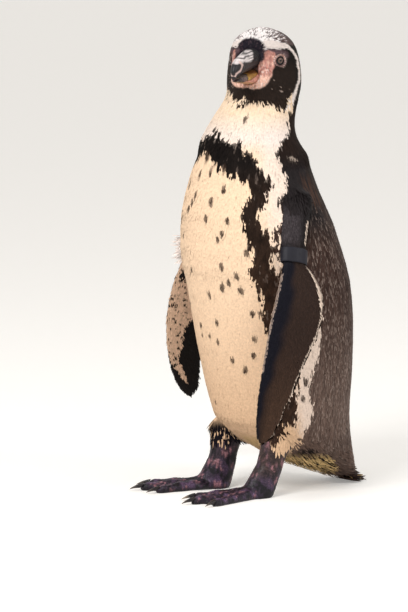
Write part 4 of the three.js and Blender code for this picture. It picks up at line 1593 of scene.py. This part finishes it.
# The scapulars grow from the trunk and run on over the arm, so they lie and colour as the trunk.
roots["part"][:] = "trunk"
coat_piece("coat_scapulars", roots, BODY_VANE, even_sizes(13.0, 2.0, 1.5), dark_feathers, 71)
vent = (corner_parts == "trunk") & (centres[:, 2] < 50)
vent &= (centres[:, 1] > 4) & (centres[:, 1] < 84)
roots = scatter(vent, VENT_GAP, 72)
coat_piece("coat_vent", roots, BODY_VANE, even_sizes(17.0, 2.2, 4.0), pale_feathers, 73)
near = (np.abs(signed - WISP_ANGLE) < 8) & (np.abs(high - WISP_HEIGHT) < 14)
near = np.nonzero(near)[0][::3]
draw = np.random.default_rng(74)
count = len(near)
place, outward = trunk_roots["place"][near], trunk_roots["normal"][near]
way = outward * draw.uniform(0.3, 1.0, (count, 1)) - UP * draw.uniform(0.1, 0.9, (count, 1))
way += draw.normal(0, 0.3, (count, 3))
normal = draw.normal(0, 0.2, (count, 3)) + [0.7, -0.6, 0.4]
length, width = draw.uniform(7, 15, count), draw.uniform(0.8, 1.4, count)
lift = np.full(count, 3.0)
name = "down_wisps"
lone_vanes(name, place, way, normal, length, width, lift, COAT["white"], pale_feathers, 75)

# %% [markdown]
# ## The bill
# The bill is horn: a hooked upper half over a shorter lower one, with grooves between its
# plates. Copies of the two solids are remeshed finely, and the grooves, the nostril slits and
# the edges are pressed in by moving points, as a sculptor would.

# %% Shape the horn
# How far ahead, then the lower and upper edge of each half of the bill there.
UPPER_EDGES = [(26, -1.5, 23.5), (46, 0.6, 21), (58, 1.6, 19.8), (70, 1.6, 18.6), (80, 0.4, 16.4)]
UPPER_EDGES += [(86.5, -2.2, 12.4), (90, -4.4, 6.5)]
LOWER_EDGES = [(26, -17, -1.8), (38, -16.8, -0.8), (50, -15, 0.4), (62, -12.4, 1), (73, -9.8, 0.6)]
LOWER_EDGES += [(81, -7.8, -0.8), (84.5, -6.8, -2.4)]
HORN_VOXEL, BAND_VOXEL = 0.0006, 0.0007


def from_bill(q):
    """Points of the nodding bill's frame, back in millimetres of the bird."""
    c, s = math.cos(HEAD_NOD), math.sin(HEAD_NOD)
    ahead, up = q[:, 0] * c + q[:, 2] * s, -q[:, 0] * s + q[:, 2] * c
    return HEAD_MIDDLE + ahead[:, None] * HEAD_AHEAD + q[:, 1:2] * HEAD_LEFT + up[:, None] * UP


def fine_copy(name, voxel, steps):
    """A copy of a solid remeshed into small squares and smoothed."""
    mesh = mesh_of(merged_copy(name), name + "_fine")
    mesh = applied(mesh, "REMESH", mode="VOXEL", voxel_size=voxel)
    move_points(mesh, relaxed(read_points(mesh), edges_of(mesh), steps))
    return mesh


def dent(x, at, wide):
    """A rounded groove, 1 at its middle."""
    return np.exp(-(((x - at) / wide) ** 2))


def shape_upper(q):
    """Presses the plates' grooves, the nostril and the cutting edge into the upper horn."""
    ahead, side = q[:, 0], np.sign(q[:, 1])
    low, high = between(UPPER_EDGES, ahead, 1), between(UPPER_EDGES, ahead, 2)
    level = (q[:, 2] - low) / (high - low)
    flank = ease(np.abs(q[:, 1]), 1.5, 4.0)
    along = ease(ahead, 30, 38) * ease(-ahead, -80, -72)
    groove = 0.75 * dent(level, 0.76 - 0.0015 * (ahead - 40), 0.05) * along
    groove += 0.5 * dent(level, 0.4, 0.05) * ease(ahead, 40, 48) * ease(-ahead, -74, -64)
    groove += 1.3 * dent(level, 0.56, 0.07) * dent(ahead, 45, 4.5)
    groove += 0.45 * dent(ahead + 0.35 * q[:, 2], 78, 0.8) * (ahead > 60)
    groove += 0.35 * dent(ahead + 0.35 * q[:, 2], 72.5, 0.7) * (ahead > 60)
    groove += 0.22 * np.sin(ahead * 1.5 - q[:, 2] * 0.9) * ease(-ahead, -48, -38) * (level > 0.5)
    q = q.copy()
    q[:, 1] -= side * groove * flank
    drop = 2.2 * ease(ahead, 40, 56) * ease(-ahead, -89, -80) * np.clip(1 - level / 0.5, 0, 1)
    q[:, 2] -= drop
    return q


def shape_lower(q):
    """The lower horn: a long side groove, and a top that follows the upper half down."""
    ahead, side = q[:, 0], np.sign(q[:, 1])
    low, high = between(LOWER_EDGES, ahead, 1), between(LOWER_EDGES, ahead, 2)
    level = (q[:, 2] - low) / (high - low)
    flank = ease(np.abs(q[:, 1]), 1.5, 4.0)
    groove = 0.5 * dent(level, 0.45, 0.08) * ease(ahead, 30, 40) * ease(-ahead, -76, -66)
    groove += 0.35 * dent(ahead - 0.3 * q[:, 2], 68, 0.8)
    q = q.copy()
    q[:, 1] -= side * groove * flank
    q[:, 2] -= 2.4 * ease(ahead, 40, 56) * np.clip(level * 1.1, 0, 1)
    return q


# %% The horn's colours
HORN = palette(
    {
        "slate": (38, 32, 33),
        "hook": (24, 21, 24),
        # The pale ridge colour is partly pale horn and partly a painted highlight of sun on the
        # dark ridge.
        "ivory": (218, 208, 206),
        "pale": (206, 178, 170),
        "olive": (124, 110, 94),
        "plum": (124, 98, 98),
        "soot": (38, 32, 34),
        "ochre": (156, 112, 54),
        "yellow": (190, 152, 70),
        "rose": (196, 136, 120),
        "strip": (210, 160, 118),
        "brown": (104, 64, 32),
    }
)
# Outlines and lines on the side of the upper horn: ahead and up, with half-widths for lines.
# The outline of the pale ridge, which is partly pale horn and partly a painted highlight of sun.
IVORY_AND_HIGHLIGHT = [(37, 30), (41, 21.5), (44, 19.6), (48, 16.8), (51, 13.4), (57, 11.6), (66, 12.8)]
IVORY_AND_HIGHLIGHT += [(70, 14), (73, 12.8), (76, 13.2), (79, 13.6), (82, 14), (85, 13.4), (88.5, 12), (88, 30)]
PALE_BAR = [(78, 14, 1.8), (75, 11.3, 1.8), (76.9, 8.5, 1.6), (80.3, 5.9, 1.5), (84.4, 4.2, 1.3)]
PALE_BAR += [(88.1, 3.4, 1.1), (89.6, 1.2, 0.8)]
HOOK = [(79.5, 13.4), (77.4, 11.5), (78.6, 9), (81.5, 6.8), (85.5, 5.2), (93, 4.6), (94, 13)]
HOOK += [(88, 12.4), (84.5, 13.6)]
GUM_LINE = [(40, -5), (45, -6.2), (56, -8.4), (68, -8.2), (76, -8.6)]
SPLIT_LINE = [(54, 18.2, 0.5), (62, 17.8, 0.6), (68, 17, 0.7), (72.5, 17.8, 0.6)]
DARK_LINE = [(73, 15.6, 0.7), (71.6, 13.6, 0.9), (70.4, 10.4, 1.1), (65, 6.2, 1.1), (54, 3, 1)]


def upper_horn_colours(q):
    """Slate sides, a fluted pale ridge that is partly pale horn and partly a painted highlight of
    sun, and a pale bar that curls round the dark hook.
    """
    ahead, up = q[:, 0], q[:, 2]
    p = from_bill(q)
    wander = ripple(p, 5, 81) * 0.5
    x, y = ahead + wander, up + wander * 0.6
    colour = HORN["slate"] * (1 + 0.3 * ripple(p, 2.2, 82)[:, None])
    colour = mix(colour, HORN["hook"] * 0.8, ease(-ahead - up * 0.4, -66, -52) * 0.9)
    colour = mix(colour, HORN["soot"], ease(-from_path(x, y, DARK_LINE), -1.4, -0.7) * 0.9)
    # The ridge is painted pale: partly pale horn, partly a painted highlight of sun on dark horn.
    ivory = soft_inside(x, y, IVORY_AND_HIGHLIGHT, 1.2)
    shade = 0.85 + 0.2 * np.clip(ripple(q * [0.4, 1, 1], 1.6, 83), -1, 1)
    colour = mix(colour, HORN["ivory"] * shade[:, None], ivory)
    flute = ease(np.sin(up * 2.6 + ahead * 0.12 + wander), 0.2, 0.7) * ease(-ahead, -64, -54)
    colour = mix(colour, HORN["hook"], flute * ease(ahead, 40, 43) * 0.85)
    colour = mix(colour, HORN["slate"], ease(-from_path(x, y, SPLIT_LINE), -1.6, -0.6) * 0.85)
    colour = mix(colour, HORN["pale"], ease(-from_path(x, y, PALE_BAR), -1.35, -0.7) * 0.9)
    return np.clip(mix(colour, HORN["hook"], soft_inside(x, y, HOOK, 0.8)), 0.001, 1)


def lower_horn_colours(q):
    """Ochre at the root, sooty streaks at the front, and a pale strip along the lower edge."""
    ahead = q[:, 0]
    p = from_bill(q)
    wander = ripple(p, 4, 85)
    low, high = between(LOWER_EDGES, ahead, 1), between(LOWER_EDGES, ahead, 2) - 2
    level = (q[:, 2] - low) / (high - low)
    streak = ripple(q * [1.0, 0.3, 0.3], 1.6, 86)
    colour = mix(HORN["soot"], HORN["olive"], ease(streak, 0.0, 0.6) * 0.9)
    colour = mix(colour, HORN["plum"], ease(-streak, 0.1, 0.7) * 0.9)
    front = 60 + (1 - level) * 9 + wander * 1.4
    ochre = ease(front - ahead, -0.8, 0.8)
    colour = mix(colour, HORN["ochre"] * (1 + 0.2 * ripple(p, 2.4, 87)[:, None]), ochre)
    colour = mix(colour, HORN["yellow"], dent(front - ahead, 2.4, 1.8) * ease(-level, -0.8, -0.5))
    fold = q[:, 2] - between(GUM_LINE, ahead) - wander * 0.3
    behind = ease(-ahead, -72, -66)
    rose = HORN["rose"] * (1 + 0.2 * ripple(p, 1.7, 31)[:, None])
    colour = mix(colour, rose, ease(-fold, -0.3, 0.3) * behind)
    colour = mix(colour, HORN["brown"], dent(fold, 0, 0.55) * behind)
    colour = mix(colour, HORN["brown"], ease(level, 0.82, 0.95) * ease(-ahead, -58, -50))
    strip = ease(-level + wander * 0.03, -0.2, -0.1)
    colour = mix(colour, HORN["strip"] * 0.8, strip * (1 - 0.5 * ease(ahead, 68, 74)))
    return np.clip(colour, 0.001, 1)


# %% [markdown]
# Horn grows in layers, so its grain is drawn out along it. A Mapping node squeezes the noise one
# way, and the same noise lightens the colour, roughens the gloss and raises the relief a little.

# %% The horn's finish
def horn_material(name, roughness, streak, strength):
    """Layered horn: growth lines along it, fine scratches, and a soft gloss."""
    material, tree, shader = new_material(name)
    lines = node(tree, "Mapping", {"Vector": own_place(tree), "Scale": streak})
    grain = noise(tree, lines, 1.0, 5.0)
    own_colours(tree, shader, stretched(tree, grain, 0.78, 1.2, start=0.3, stop=0.7))
    rough = stretched(tree, grain, roughness - 0.1, roughness + 0.15)
    wire(tree, shader, {"Roughness": rough, "Specular IOR Level": 0.3})
    bumped(tree, shader, grain, strength, 0.0004)
    return material


bill_horn = horn_material("bill_horn", 0.38, (900.0, 900.0, 1500.0), 0.35)
for name, shape, colours in (
    ("bill_upper", shape_upper, upper_horn_colours),
    ("bill_lower", shape_lower, lower_horn_colours),
):
    mesh = fine_copy(name, HORN_VOXEL, 5)
    shaped = shape(along_bill(in_bird(read_points(mesh))))
    move_points(mesh, in_frame(from_bill(shaped)))
    store_colours(mesh, "plumage", colours(shaped))
    finish_mesh("horn_" + name, mesh, bill_horn, "bill_horn", [name])
    print(name, len(mesh.polygons), "faces")

# %% [markdown]
# ## Eyes, claws and band
# Each eye is a ball that bulges a little over its brown iris. Its rings are written on the ball's
# own points, under a clear glossy coat. The claws are the solids' own shapes made round by
# subdivision, and the band is the ring that the bird wears, with softened edges and left blank.

# %% The eyes
eye_material, tree, shader = new_material("eye")
fibres = noise(tree, own_place(tree), 1400.0, 4.0)
own_colours(tree, shader, stretched(tree, fibres, 0.7, 1.3, start=0.3, stop=0.7))
wire(tree, shader, {"Roughness": 0.12, "Specular IOR Level": 0.1})
wire(tree, shader, {"Coat Weight": 0.6, "Coat Roughness": 0.02})
# Degrees from the middle of the pupil, and the colour there.
EYE_RINGS = [
    (0, (6, 5, 6)),
    (9, (8, 6, 7)),
    (11.5, (78, 56, 44)),
    (21, (98, 72, 58)),
    (25, (66, 44, 34)),
    (28, (14, 11, 12)),
    (180, (14, 11, 12)),
]
GAZE_AHEAD = 0.15
for side, (place, hand) in EYES.items():
    out, ahead, above = eye_frame(hand)
    # Each eye looks a little further forward than its lids face.
    gaze = (out + ahead * GAZE_AHEAD) / math.hypot(1, GAZE_AHEAD)
    bm = bmesh.new()
    bmesh.ops.create_uvsphere(bm, u_segments=72, v_segments=72, radius=EYEBALL)
    turn = Matrix([list(ahead), list(np.cross(out, ahead)), list(out)]).transposed()
    bmesh.ops.rotate(bm, verts=bm.verts, cent=(0, 0, 0), matrix=turn)
    mesh = mesh_of(bm, "eye_ball_" + side)
    q = read_points(mesh)
    angle = np.degrees(np.arccos(np.clip(q @ gaze / EYEBALL, -1, 1)))
    bulge = 0.35 * ease(-angle, -40, -12)
    move_points(mesh, in_frame(q + gaze * bulge[:, None] + place))
    rings = [(at, *linear(ring)) for at, ring in EYE_RINGS]
    colours = np.stack([between(rings, angle, column) for column in (1, 2, 3)], 1)
    store_colours(mesh, "plumage", colours)
    finish_mesh("eye_ball_" + side, mesh, eye_material, "eye", ["eye_" + side])
print("the right eye looks towards", [round(float(v), 2) for v in gaze])

# %% The claws
claw_material = horn_material("claw_horn", 0.32, (500.0, 500.0, 500.0), 0.3)
CLAW_DARK, CLAW_PALE = linear((30, 25, 27)), linear((178, 160, 140))
# How pale a claw's root is: most are nearly black, and one is worn pale.
PALE_ROOT = {"claw_left_inner": 0.75}
for name in [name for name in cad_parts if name.startswith("claw_")]:
    mesh = mesh_of(merged_copy(name), name + "_round")
    mesh = applied(mesh, "SUBSURF", levels=2, render_levels=2)
    y = in_bird(read_points(mesh))[:, 1]
    reach = (y - y.min()) / np.ptp(y)
    pale = ease(-reach, -0.55, -0.1) * PALE_ROOT.get(name, 0.18)
    store_colours(mesh, "plumage", mix(CLAW_DARK, CLAW_PALE, pale))
    finish_mesh("horn_" + name, mesh, claw_material, "claw", [name])

# %% The band
band_material, tree, shader = new_material("flipper_band")
place = own_place(tree)
grain = noise(tree, place, 260.0, 4.0)
wear = noise(tree, place, 70.0)
rough = stretched(tree, grain, 0.45, 0.65)
tint = two_tints(tree, wear, (14, 13, 20), (26, 25, 36))
wire(tree, shader, {"Base Color": tint, "Roughness": rough, "Specular IOR Level": 0.25})
bumped(tree, shader, grain, 0.2, 0.0003)
band = fine_copy("flipper_band", BAND_VOXEL, 9)
finish_mesh("worn_band", band, band_material, "band", ["flipper_band"])
print("band:", len(band.polygons), "faces")
